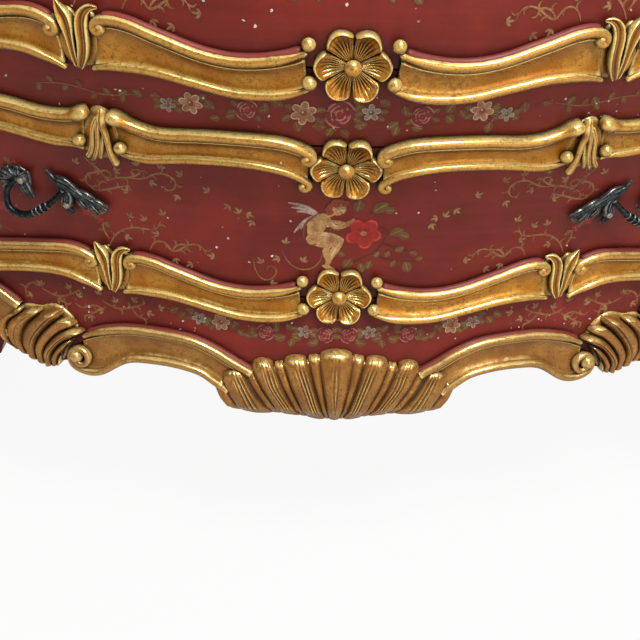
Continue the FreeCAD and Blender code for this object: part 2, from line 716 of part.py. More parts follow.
PULL_SCREWS = [V(-26, -3, 0), V(20, 15, 0)]
LEAF_MOUNT = [(-66, -8), (-52, -9), (-38, -3), (-30, -16), (-21, -10), (-16, 2), (-12, 12), (-10, 26), (-20, 21),
              (-32, 13), (-46, 8), (-58, 3)]
SHELL_MOUNT = [(8, -6), (14, 0), (24, 4), (38, 0), (50, 6), (52, 18), (44, 27), (30, 31), (16, 28), (9, 18), (11, 8)]
BAIL_ROUTE = [(-20, 4, 0.22), (-9, -4, 0.66), (4, -13, 0.93), (19, -18, 1.0), (33, -12, 0.93), (41, 0, 0.66),
              (38, 12, 0.22)]


def mount_plate(outline):
    """A cast leaf of a pull, lying in the pull's own plane."""
    return Part.Face(closed_curve([V(x, y, 0) for x, y in outline])).extrude(V(0, 0, MOUNT_RISE))


def bail():
    """The grip of a pull, a bar that swells in the middle."""
    route = Part.BSplineCurve()
    route.interpolate([V(x, y, PULL_REACH * rise - BAIL_R) for x, y, rise in BAIL_ROUTE])
    rings = []
    for share in spaced(0.0, 1.0, 0.1):
        at = between(route.FirstParameter, route.LastParameter, share)
        radius = BAIL_R * (0.8 + 0.2 * math.sin(math.pi * share))
        rings.append(Part.Wire([Part.Circle(route.value(at), route.tangent(at)[0], radius).toShape()]))
    return loft(rings)


def pull():
    """A cast pull in its own plane: two leaves, a grip and two screw holes."""
    body = mount_plate(LEAF_MOUNT).fuse([mount_plate(SHELL_MOUNT), bail()])
    below = box(-100, 100, -100, 100, -PULL_REACH, 0)
    for centre in PULL_SCREWS:
        body = body.cut(Part.makeCylinder(SCREW_R + SCREW_HOLE_PLAY, MOUNT_RISE * 3, centre - V(0, 0, MOUNT_RISE)))
    return body.cut(below)


def pull_screw(play=0.0):
    """A round-headed screw along Z, its head above Z = 0."""
    shank = Part.makeCylinder(SCREW_R + play, SCREW_LENGTH + play, V(0, 0, -SCREW_LENGTH - play))
    return shank.fuse(Part.makeCone(SCREW_HEAD_R, SCREW_HEAD_R * 0.6, SCREW_HEAD))


def screws_at(z, play=0.0):
    """The two screws of a drawer's right pull."""
    placed = []
    for centre in PULL_SCREWS:
        screw = pull_screw(play)
        screw.translate(centre + V(0, 0, MOUNT_RISE))
        screw.Placement = pull_frame(z).multiply(screw.Placement)
        placed.append(screw)
    return placed


def placed_pull(z):
    """A drawer's right pull, in place."""
    piece = pull()
    piece.Placement = pull_frame(z)
    return piece


def drawer(name, z):
    """Every piece of one drawer, by node name."""
    front = drawer_front(z)
    side = drawer_side(z, front)
    high = z + DRAWER_FRONT_HEIGHT
    front = front.cut(drawer_bottom(z, GROOVE_PLAY))
    for hole in screws_at(z, SCREW_HOLE_PLAY):
        front = front.cut(hole).cut(mirrored(hole))
    handle = placed_pull(z)
    return {
        f"{name}_drawer_front": front,
        f"{name}_drawer_side_right": side,
        f"{name}_drawer_side_left": mirrored(side),
        f"{name}_drawer_back": drawer_back(z),
        f"{name}_drawer_bottom": drawer_bottom(z),
        f"{name}_drawer_top_moulding": drawer_moulding(TOP_INNER, TOP_OUTER, high),
        f"{name}_drawer_low_moulding": drawer_moulding(LOW_INNER, LOW_OUTER, z),
        f"{name}_drawer_top_rosette": rosette_at(high + TOP_ROSETTE_DROP),
        f"{name}_drawer_low_rosette": rosette_at(z + LOW_ROSETTE_DROP),
        f"{name}_drawer_clasps": drawer_clasps(z),
        f"{name}_drawer_pull_right": handle,
        f"{name}_drawer_pull_left": mirrored(handle),
        f"{name}_drawer_pull_screws": solids([s for screw in screws_at(z) for s in pair(screw)]),
    }


# Assembly


def case_pieces():
    """Every fixed piece of the case, by node name."""
    low, high = DRAWER_FRONTS["lower"], DRAWER_FRONTS["upper"]
    board_top = low - RUN_PLAY - RUNNER_THICK
    rail_top = OPENING_LOW + OPENING_HEIGHT
    post, rear, side = leg_and_post(front_post_section), leg_and_post(rear_post_section), side_panel()
    edging = moulding(laid_out(APRON_INNER, APRON_ENDS, APRON_LOW), on_front)
    edging_outer = moulding(laid_out(APRON_OUTER, APRON_ENDS, APRON_LOW), on_front)
    leaf = relief(leaf_outline(), LEAF_RISE)
    knee, drop = knee_carving(), post_drop()
    trims = side_mouldings()
    dust_z = high - RUN_PLAY - RUNNER_THICK
    return {
        "top_board": top_board(),
        "bed_moulding": bed_moulding(),
        "front_post_right": post,
        "front_post_left": mirrored(post),
        "rear_post_right": rear,
        "rear_post_left": mirrored(rear),
        "side_panel_right": side,
        "side_panel_left": mirrored(side),
        "back_panel": back_panel(),
        "top_rail": front_block(-POST_X, POST_X, rail_top + DRAWER_PITCH, CASE_TOP),
        "middle_rail": front_block(-POST_X, POST_X, rail_top, OPENING_LOW + DRAWER_PITCH),
        "apron": apron(),
        "bottom_board": shaped_board(POST_X, board_top - BOTTOM_BOARD, board_top, INSIDE_BACK_Y, FRONT_WALL + SEAT),
        "dust_board": shaped_board(DRAWER_X - RUNNER_IN, dust_z, dust_z + DUST_BOARD, INSIDE_BACK_Y,
                                   FRONT_WALL + SEAT),
        "upper_runners": solids(pair(runner(high))),
        "lower_runners": solids(pair(runner(low))),
        "drawer_guides": solids(pair(guide(low)) + pair(guide(high))),
        "drawer_stops": solids(pair(drawer_stop(low)) + pair(drawer_stop(high))),
        "glue_blocks": solids(pair(glue_block(POST_Y)) + pair(glue_block(INSIDE_BACK_Y - BLOCK_SIZE))),
        "apron_shell": relief(shell_outline(), SHELL_RISE),
        "apron_moulding_right": solids([edging, edging_outer]),
        "apron_moulding_left": solids([mirrored(edging), mirrored(edging_outer)]),
        "apron_leaf_right": leaf,
        "apron_leaf_left": mirrored(leaf),
        "side_mouldings_right": solids(trims),
        "side_mouldings_left": solids([mirrored(trim) for trim in trims]),
        "knee_carving_right": knee,
        "knee_carving_left": mirrored(knee),
        "post_drop_right": drop,
        "post_drop_left": mirrored(drop),
    }


def side_mouldings():
    """The mouldings of the side at +X: above and below its panel and along its arch."""
    start, end = POST_Y + 8, REAR_POST_Y - 8
    middle = (start + end) / 2
    quarter = (end - start) / 4
    lines = []
    for z, dip in ((DRAWER_FRONTS["upper"] + DRAWER_FRONT_HEIGHT, -10), (DRAWER_FRONTS["lower"], 10)):
        lines.append([(start, z - dip, 30), (middle - quarter, z + dip, 28), (middle, z, 34),
                      (middle + quarter, z + dip, 28), (end, z - dip, 30)])
    lines.append([(y, side_arch_height(y) + 19, 34) for y in spaced(start, end, 60)])
    return [moulding(line, on_side) for line in lines]


def main():
    """Build every piece and write one file for each."""
    os.makedirs("parts", exist_ok=True)
    pieces = case_pieces()
    for name, z in DRAWER_FRONTS.items():
        pieces.update(drawer(name, z))
    for name, shape in pieces.items():
        valid = shape.isValid() and all(s.Volume > 0 for s in shape.Solids)
        print(f"{name}: {len(shape.Solids)} solids, {shape.Volume / 1000:.1f} cm3, valid {valid}")
        shape.exportStep(os.path.join("parts", f"{name}.step"))


main()
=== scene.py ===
"""Bombe chest: carved gilding, old red paint with flowers and cast pulls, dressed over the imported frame.

Design measures are millimetres, X to the right, -Y to the front and Z up, and become metres when a mesh is
made. Every carved or painted piece takes its place from a face of the swelling case.
"""

import json
import logging
import math
from dataclasses import dataclass, field
from enum import Enum
from typing import Callable, Sequence

import bmesh
import bpy
import numpy as np
from bpy.types import ID, Material, Mesh, Node, NodeSocket, Object
from mathutils import Matrix, Vector


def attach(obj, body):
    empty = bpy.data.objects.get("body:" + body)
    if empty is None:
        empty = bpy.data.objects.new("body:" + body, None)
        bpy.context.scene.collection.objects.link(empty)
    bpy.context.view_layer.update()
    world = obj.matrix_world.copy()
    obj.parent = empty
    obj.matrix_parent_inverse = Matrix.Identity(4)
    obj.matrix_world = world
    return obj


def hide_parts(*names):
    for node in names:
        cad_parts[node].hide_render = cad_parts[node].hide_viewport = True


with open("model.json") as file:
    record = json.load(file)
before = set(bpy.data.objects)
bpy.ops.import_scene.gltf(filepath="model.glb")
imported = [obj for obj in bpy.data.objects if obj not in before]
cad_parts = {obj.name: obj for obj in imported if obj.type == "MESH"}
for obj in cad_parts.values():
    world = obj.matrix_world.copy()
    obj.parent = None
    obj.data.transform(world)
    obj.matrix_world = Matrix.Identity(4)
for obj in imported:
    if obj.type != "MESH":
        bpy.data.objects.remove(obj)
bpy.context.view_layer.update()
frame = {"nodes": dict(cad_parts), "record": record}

MM = 0.001
# Height of a carving's floor above its face, in millimetres.
SEAT = 0.4
# Vertices nearer to each other than this are merged, in metres.
WELD = 1e-6
LOG = logging.getLogger("bombe_chest")
Array = np.ndarray
Place = tuple[float, float]
Colour = tuple[float, float, float]
WHITE = EVEN = (1.0, 1.0, 1.0)


class Body(Enum):
    """What a piece moves with."""

    CASE = "case"
    LOWER = "lower_drawer"
    UPPER = "upper_drawer"


class Slot(Enum):
    """Finishes that the record names."""

    RED = "red_paint"
    GILT = "gilding"
    CASE_WOOD = "case_wood"
    DRAWER_WOOD = "drawer_wood"
    BRONZE = "pull_bronze"
    BRASS = "screw_brass"


class Sides(Enum):
    """Which halves of the chest a part made for the right half goes to."""

    RIGHT = (False,)
    LEFT = (True,)
    BOTH = (False, True)


HALVES = ((Sides.RIGHT, "right"), (Sides.LEFT, "left"))
DRAWERS = (("lower", Body.LOWER, 346.03), ("upper", Body.UPPER, 579.01))


class Ending(Enum):
    """How a bead of a moulding ends; a wound end has its side of the cove, radius, turn and lift."""

    SQUARE = "square"
    HEAD = "swollen head"
    TAPER = "taper"
    CURL_IN = (1, 4.6, 300.0, 1.5)
    CURL_OUT = (-1, 4.6, 270.0, 1.0)
    VOLUTE = (1, 12.5, 420.0, 3.0)


def srgb(red: int, green: int, blue: int) -> Colour:
    """A display colour of 0 to 255 as linear light."""
    return tuple(v / 3294.6 if v < 11 else ((v / 255 + 0.055) / 1.055) ** 2.4 for v in (red, green, blue))


def flow(points: Sequence, step: float) -> Array:
    """Sample a smooth line through points.

    Args:
        points: Places and any further values that change along with them; the first two set the distances.
        step: Distance between samples.

    Returns:
        The samples, one row each.
    """
    knots = np.asarray(points, float)
    gaps = np.linalg.norm(np.diff(knots[:, :2], axis=0), axis=1)
    at = np.concatenate([[0.0], np.cumsum(gaps)])
    count = len(at)
    matrix = np.eye(count)
    right = np.zeros_like(knots)
    for i in range(1, count - 1):
        matrix[i, i - 1:i + 2] = gaps[i - 1], 2 * (gaps[i - 1] + gaps[i]), gaps[i]
        right[i] = 6 * ((knots[i + 1] - knots[i]) / gaps[i] - (knots[i] - knots[i - 1]) / gaps[i - 1])
    bend = np.linalg.solve(matrix, right)
    where = np.linspace(0.0, at[-1], max(3, math.ceil(at[-1] / step) + 1))
    i = np.clip(np.searchsorted(at, where, side="right") - 1, 0, count - 2)
    gap = gaps[i][:, None]
    before = (at[i + 1] - where)[:, None]
    after = (where - at[i])[:, None]
    cubic = (bend[i] * before ** 3 + bend[i + 1] * after ** 3) / (6 * gap)
    return (cubic + (knots[i] / gap - bend[i] * gap / 6) * before
            + (knots[i + 1] / gap - bend[i + 1] * gap / 6) * after)


def unit(vectors: Array) -> Array:
    """Vectors of length one."""
    return vectors / np.maximum(np.linalg.norm(vectors, axis=-1, keepdims=True), 1e-9)


def headings(places: Array) -> Array:
    """Unit directions along a line."""
    return unit(np.gradient(places, axis=0))


def bump(value: Array, middle: float, spread: float) -> Array:
    """A smooth bump of height 1."""
    return np.exp(-((value - middle) / spread) ** 2)


def ease(value: Array) -> Array:
    """A smooth step from 0 to 1."""
    share = np.clip(value, 0.0, 1.0)
    return share * share * (3 - 2 * share)


def arch(value: Array) -> Array:
    """A half circle over -1 to 1."""
    return np.sqrt(np.clip(1 - value * value, 0.0, 1.0))


@dataclass(frozen=True)
class CaseForm:
    """The swelling case."""

    height: float = 816.0
    depth: float = 380.0
    half_width: float = 500.0
    belly: float = 58.0
    belly_z: float = 639.69
    belly_spread: float = 174.71
    knee: float = 16.0
    knee_z: float = 215.03
    knee_spread: float = 85.0
    ankle: float = -9.0
    ankle_z: float = 84.81
    ankle_spread: float = 55.0
    foot: float = 44.0
    foot_spread: float = 45.0
    side_share: float = 0.75
    bow: float = 88.0
    bow_span: float = 520.0
    side_bow: float = 16.0
    post_x: float = 445.0
    post_depth: float = 55.0
    rear_post: float = 45.0
    ankle_width: float = 46.0
    knee_top: float = 236.03
    nose: float = 0.2
    apron_low: float = 212.03
    furthest_rise: float = 20.3
    furthest_z: float = 583.01

    @property
    def back_y(self) -> float:
        """The rear edge of the case."""
        reach = float(self.swell(np.array(self.furthest_z)))
        return (self.depth + self.bow + reach + self.furthest_rise) / 2

    @property
    def front_plane(self) -> float:
        """The reference plane of the front."""
        return self.back_y - self.depth

    @property
    def post_y(self) -> float:
        """The rear face of the front posts."""
        return self.front_plane + self.post_depth

    @property
    def rear_post_y(self) -> float:
        """The front face of the rear posts."""
        return self.back_y - self.rear_post

    def swell(self, z: Array) -> Array:
        """How far the case stands out at a height."""
        waves = ((self.belly, self.belly_z, self.belly_spread), (self.knee, self.knee_z, self.knee_spread),
                 (self.ankle, self.ankle_z, self.ankle_spread), (self.foot, 0.0, self.foot_spread))
        return sum(height * bump(z, middle, width) for height, middle, width in waves)

    def front_y(self, x: Array, z: Array) -> Array:
        """The outer face of the front."""
        share = np.minimum(np.abs(x), self.bow_span) / self.bow_span
        return self.front_plane - self.bow * (1 + np.cos(np.pi * share)) / 2 - self.swell(z)

    def side_x(self, y: Array, z: Array) -> Array:
        """The outer face of the right side."""
        middle = (self.post_y + self.rear_post_y) / 2
        half = (self.rear_post_y - self.post_y) / 2
        share = np.minimum(np.abs(y - middle) / half, 1.0)
        bow = self.side_bow * (1 + np.cos(np.pi * share)) / 2
        return self.half_width + self.side_share * self.swell(z) + bow

    def front(self, a: Array, b: Array) -> Array:
        """Points on the front, by X and height."""
        return np.stack([a, self.front_y(a, b), b], axis=-1)

    def side(self, a: Array, b: Array) -> Array:
        """Points on the right side, by Y and height."""
        return np.stack([self.side_x(a, b), a, b], axis=-1)

    def top(self, a: Array, b: Array) -> Array:
        """Points on the top board, by X and Y."""
        return np.stack([a, b, np.full_like(a, self.height)], axis=-1)

    def post(self, a: Array, b: Array) -> Array:
        """Points on the right front post's corner, by percent of the way round it and height."""
        share = ease((self.knee_top - b) / (self.knee_top - self.ankle_z))
        front = self.front_y(np.full_like(b, self.post_x), b)
        side = self.side_x(np.full_like(b, self.post_y), b)
        inner_x = self.post_x + (side - self.ankle_width - self.post_x) * share
        inner_y = self.post_y + (front + self.ankle_width - self.post_y) * share
        first, last = np.stack([inner_x, front], axis=-1), np.stack([side, inner_y], axis=-1)
        chord = last - first
        length = np.linalg.norm(chord, axis=-1)[..., None]
        along = chord / length
        outward = np.stack([along[..., 1], -along[..., 0]], axis=-1)
        rise = self.nose * length
        radius = (length * length / 4 + rise * rise) / (2 * rise)
        turn = np.arcsin(length / 2 / radius) * (a[..., None] / 50 - 1)
        middle = (first + last) / 2 + outward * (rise - radius)
        flat = middle + radius * (outward * np.cos(turn) + along * np.sin(turn))
        return np.concatenate([flat, b[..., None]], axis=-1)


@dataclass(frozen=True)
class Face:
    """A face whose points are found by two measures."""

    bare: Callable[[Array, Array], Array]
    step: float = 0.5

    def out(self, a: Array, b: Array) -> Array:
        """Unit directions away from the face."""
        along = self.bare(a + self.step, b) - self.bare(a - self.step, b)
        up = self.bare(a, b + self.step) - self.bare(a, b - self.step)
        return unit(np.cross(along, up))

    def at(self, a: Array, b: Array, rise: Array | float) -> Array:
        """Points above the face."""
        return self.bare(a, b) + self.out(a, b) * np.asarray(rise, float)[..., None]

    def flat_spot(self, a: float, b: float, rise: float) -> "Face":
        """A flat spot above the face, with measures from its own middle.

        Args:
            a: First measure of its middle.
            b: Second measure of its middle.
            rise: Height of the spot above the face.

        Returns:
            The spot.
        """
        spot = (np.array([a]), np.array([b]))
        normal, middle = self.out(*spot)[0], self.at(*spot, rise)[0]
        along = unit(np.array([1.0, 0.0, 0.0]) - normal * normal[0])
        up = np.cross(normal, along)
        return Face(lambda x, y: middle + np.multiply.outer(x, along) + np.multiply.outer(y, up))


def stepped(place: Sequence, turn: float, reach: float) -> Place:
    """The place at a distance from another, in a direction in degrees."""
    angle = math.radians(turn)
    return (place[0] + reach * math.cos(angle), place[1] + reach * math.sin(angle))


def spread(line: Array, count: int) -> Array:
    """A sampled line with another number of samples."""
    have, want = np.linspace(0.0, 1.0, len(line)), np.linspace(0.0, 1.0, count)
    return np.stack([np.interp(want, have, column) for column in line.T], axis=1)


CUSHION = [(1.0, 0.15), (0.97, 0.6), (0.88, 0.85), (0.7, 0.96), (0.4, 1.0), (0.02, 1.0)]


def grid_mesh(points: Array, floor: Array) -> Mesh:
    """Close a grid of points over a grid of floor points.

    Args:
        points: Upper points, rows by columns by three, in millimetres.
        floor: Points under them, of the same shape.

    Returns:
        A closed mesh, in metres.
    """
    rows, columns = points.shape[:2]
    count = rows * columns
    at = np.arange(count).reshape(rows, columns)
    quads = np.stack([at[:-1, :-1], at[:-1, 1:], at[1:, 1:], at[1:, :-1]], axis=-1).reshape(-1, 4)
    both = np.stack([quads, quads[:, ::-1] + count], axis=1).reshape(-1, 4)
    rim = np.concatenate([at[0], at[1:, -1], at[-1, -2::-1], at[-2:0:-1, 0]])
    ahead = np.roll(rim, -1)
    faces = np.concatenate([both, np.stack([rim, rim + count, ahead + count, ahead], axis=-1)])
    mesh = bpy.data.meshes.new("grid")
    verts = np.concatenate([points.reshape(-1, 3), floor.reshape(-1, 3)]) * MM
    mesh.from_pydata(verts.tolist(), [], faces.tolist())
    return mesh


def carved(face: Face, places: Array, rises: Array) -> Mesh:
    """A carved surface on a face.

    Args:
        face: What it lies on.
        places: Rows by columns of two measures.
        rises: Height above the face at each place.

    Returns:
        A closed mesh.
    """
    a, b = places[..., 0], places[..., 1]
    return grid_mesh(face.at(a, b, rises), face.at(a, b, np.full(rises.shape, SEAT)))


def pad(face: Face, outline: Sequence, rise: float) -> Mesh:
    """A low cushion-shaped carving inside an outline.

    Args:
        face: What it lies on.
        outline: Places round it; its middle sees all of them.
        rise: Height of its middle.

    Returns:
        A closed mesh.
    """
    around = flow([*outline, outline[0]], 3.0)[:-1]
    middle = around.mean(axis=0)
    turns = np.concatenate([around, around[:1]])
    shares, heights = np.array(CUSHION).T
    places = middle + (turns - middle)[None] * shares[:, None, None]
    return carved(face, places, np.repeat(rise * heights[:, None], len(turns), axis=1))


def raised(rows: Sequence, level: float) -> Array:
    """Rows of a table with their second measure counted from a level."""
    moved = np.array(rows, float)
    moved[:, 1] += level
    return moved


@dataclass
class Route:
    """A line above a face that a section follows."""

    face: Face
    places: Array
    rise: Array
    size: Array
    tint: Colour = WHITE

    def columns(self) -> tuple[Array, ...]:
        """Points, outward directions, sizes and colours."""
        a, b = self.places.T
        tints = np.tile([*self.tint, 1.0], (len(a), 1))
        return self.face.at(a, b, self.rise), self.face.out(a, b), self.size, tints


@dataclass
class Spots:
    """Places in space where copies of a shape go."""

    rows: list = field(default_factory=list)

    def put(self, face: Face, place: Place, rise: float, turn: float,
            stretch: tuple[float, float, float], tint: Colour = WHITE) -> None:
        """Add a place.

        Args:
            face: What carries the copy.
            place: Its two measures.
            rise: Height above the face.
            turn: Turn of the copy about the way out, in degrees from the face's first measure.
            stretch: Scale of the unit shape, in millimetres.
            tint: Colour carried along.
        """
        here = np.array(place, float)[:, None]
        ahead = np.array(stepped(place, turn, 1.0))[:, None]
        start = face.at(*here, rise)[0]
        along = unit(face.at(*ahead, rise)[0] - start)
        self.rows.append((start, face.out(*here)[0], along, stretch, tint))


ATTRIBUTES = {"out": ("FLOAT_VECTOR", "vector"), "along": ("FLOAT_VECTOR", "vector"),
              "stretch": ("FLOAT_VECTOR", "vector"), "size": ("FLOAT", "value"),
              "tint": ("FLOAT_COLOR", "color")}


def host_mesh(points: Array, edges: Sequence, **values: Array) -> Mesh:
    """Points or lines that carry named values.

    Args:
        points: Places in millimetres.
        edges: Pairs of points that a line joins.
        **values: One row for each point, by the name of the attribute.

    Returns:
        A mesh in metres for a tree to work on.
    """
    mesh = bpy.data.meshes.new("host")
    mesh.from_pydata((np.asarray(points) * MM).tolist(), edges, [])
    for name, rows in values.items():
        kind, key = ATTRIBUTES[name]
        mesh.attributes.new(name, kind, "POINT").data.foreach_set(key, np.asarray(rows, np.float32).ravel())
    return mesh


def placed(name: str, data: ID) -> Object:
    """A new object in the scene."""
    made = bpy.data.objects.new(name, data)
    bpy.context.scene.collection.objects.link(made)
    return made


def add_node(tree: bpy.types.NodeTree, kind: str, settings: dict, sockets: dict) -> Node:
    """Add a node to a tree.

    Args:
        tree: Where it goes.
        kind: Type of the node.
        settings: Properties to set first.
        sockets: Values or links of its inputs, by identifier or name.

    Returns:
        The node.
    """
    made = tree.nodes.new(kind)
    for key, value in settings.items():
        setattr(made, key, value)
    for key, value in sockets.items():
        entry = next((s for s in made.inputs if s.identifier == key), None) or made.inputs[key]
        if isinstance(value, (Sock, NodeSocket)):
            tree.links.new(getattr(value, "socket", value), entry)
        elif isinstance(value, tuple) and entry.type == "RGBA":
            entry.default_value = (*value, 1.0)
        else:
            entry.default_value = value
    return made


class NodeTree:
    """A Geometry Nodes tree that puts a shape on a host's lines or points."""

    INPUTS = {"Geometry": "NodeSocketGeometry", "Shape": "NodeSocketObject",
              "Material": "NodeSocketMaterial"}

    def __init__(self, name: str) -> None:
        """Start a tree."""
        self.tree = bpy.data.node_groups.new(name, "GeometryNodeTree")
        sockets = self.tree.interface
        self.keys = {key: sockets.new_socket(key, in_out="INPUT", socket_type=kind).identifier
                     for key, kind in self.INPUTS.items()}
        sockets.new_socket("Geometry", in_out="OUTPUT", socket_type="NodeSocketGeometry")
        self.start = self.tree.nodes.new("NodeGroupInput").outputs
        held = add_node(self.tree, "GeometryNodeObjectInfo", {}, {"Object": self.start["Shape"]})
        self.shape = held.outputs["Geometry"]

    def node(self, kind: str, settings: dict, sockets: dict) -> NodeSocket:
        """Add a node and give its first output."""
        return add_node(self.tree, kind, settings, sockets).outputs[0]

    def named(self, name: str) -> NodeSocket:
        """An attribute of the host's points."""
        kind = ATTRIBUTES[name][0]
        return self.node("GeometryNodeInputNamedAttribute", {"data_type": kind}, {"Name": name})

    def end(self, geometry: NodeSocket) -> None:
        """Close the tree: real geometry, smooth shading and the material."""
        real = self.node("GeometryNodeRealizeInstances", {}, {"Geometry": geometry})
        smooth = self.node("GeometryNodeSetShadeSmooth", {}, {"Geometry": real})
        done = self.node("GeometryNodeSetMaterial", {},
                         {"Geometry": smooth, "Material": self.start["Material"]})
        self.tree.links.new(done, self.tree.nodes.new("NodeGroupOutput").inputs[0])

    def run(self, mesh: Mesh, shape: Mesh, material: Material) -> Mesh:
        """Evaluate the tree on a mesh.

        Args:
            mesh: The host's points or lines; it is used up.
            shape: The section or the shape; it is used up.
            material: Finish of the result.

        Returns:
            The result as a plain mesh.
        """
        host, holder = placed("host", mesh), placed("holder", shape)
        modifier = host.modifiers.new("nodes", "NODES")
        modifier.node_group = self.tree
        modifier[self.keys["Shape"]] = holder
        modifier[self.keys["Material"]] = material
        graph = bpy.context.evaluated_depsgraph_get()
        result = bpy.data.meshes.new_from_object(host.evaluated_get(graph))
        host.modifiers.clear()
        for used in (host, holder):
            bpy.data.objects.remove(used)
        for used in (mesh, shape):
            bpy.data.meshes.remove(used)
        return result


class SweepTree(NodeTree):
    """Carries a closed section along lines, turned to their way out and scaled by their sizes."""

    def __init__(self) -> None:
        """Build the tree."""
        super().__init__("follow_route")
        line = self.node("GeometryNodeMeshToCurve", {}, {"Mesh": self.start["Geometry"]})
        turned = self.node("GeometryNodeSetCurveNormal", {"mode": "FREE"},
                           {"Curve": line, "Normal": self.named("out")})
        section = self.node("GeometryNodeMeshToCurve", {}, {"Mesh": self.shape})
        self.end(self.node("GeometryNodeCurveToMesh", {},
                           {"Curve": turned, "Profile Curve": section, "Scale": self.named("size"),
                            "Fill Caps": True}))

    def sweep(self, routes: Sequence[Route], section: Sequence, material: Material) -> Mesh:
        """Sweep a section.

        Args:
            routes: Lines to follow.
            section: Closed outline of (across, rise) places, in millimetres at size 1.
            material: Finish of the result.

        Returns:
            The swept mesh.
        """
        starts = np.cumsum([0] + [len(route.places) for route in routes])
        edges = [(i, i + 1) for s, e in zip(starts, starts[1:]) for i in range(s, e - 1)]
        points, out, sizes, tints = map(np.concatenate, zip(*(route.columns() for route in routes)))
        mesh = host_mesh(points, edges, out=out, size=sizes, tint=tints)
        count = len(section)
        outline = bpy.data.meshes.new("section")
        outline.from_pydata([(rise * MM, -across * MM, 0.0) for across, rise in section],
                            [(i, (i + 1) % count) for i in range(count)], [])
        return self.run(mesh, outline, material)


class ScatterTree(NodeTree):
    """Puts a shape on points, turned and stretched by their attributes."""

    def __init__(self) -> None:
        """Build the tree."""
        super().__init__("place_shapes")
        turn = self.node("FunctionNodeAxesToRotation", {"primary_axis": "Z", "secondary_axis": "X"},
                         {"Primary Axis": self.named("out"), "Secondary Axis": self.named("along")})
        self.end(self.node("GeometryNodeInstanceOnPoints", {},
                           {"Points": self.start["Geometry"], "Instance": self.shape, "Rotation": turn,
                            "Scale": self.named("stretch")}))

    def scatter(self, spots: Spots, shape: Mesh, material: Material) -> Mesh:
        """Copy a shape to places.

        Args:
            spots: Where the copies go.
            shape: A mesh in units; it is used up.
            material: Finish of the result.

        Returns:
            The copies as one mesh.
        """
        points, out, along, stretch, tints = zip(*spots.rows)
        mesh = host_mesh(points, [], out=out, along=along, stretch=np.array(stretch) * MM,
                         tint=[(*tint, 1.0) for tint in tints])
        return self.run(mesh, shape, material)


class Sock:
    """A shader socket that takes part in arithmetic."""

    def __init__(self, nodes: "Shader", socket: NodeSocket) -> None:
        """Keep the socket and where new nodes go."""
        self.nodes = nodes
        self.socket = socket

    def __add__(self, other: "Sock | float") -> "Sock":
        """Sum."""
        return self.nodes.math("ADD", self, other)

    __radd__ = __add__

    def __sub__(self, other: "Sock | float") -> "Sock":
        """Difference."""
        return self.nodes.math("SUBTRACT", self, other)

    def __rsub__(self, other: float) -> "Sock":
        """Reflected difference."""
        return self.nodes.math("SUBTRACT", other, self)

    def __mul__(self, other: "Sock | float") -> "Sock":
        """Product."""
        return self.nodes.math("MULTIPLY", self, other)

    __rmul__ = __mul__

    def over(self, level: float, soft: float) -> "Sock":
        """1 where the value is above a level and 0 below it, with a soft edge."""
        return self.nodes.node("ShaderNodeMapRange", {"interpolation_type": "SMOOTHSTEP"},
                               {"Value": self, "From Min": level - soft, "From Max": level + soft})


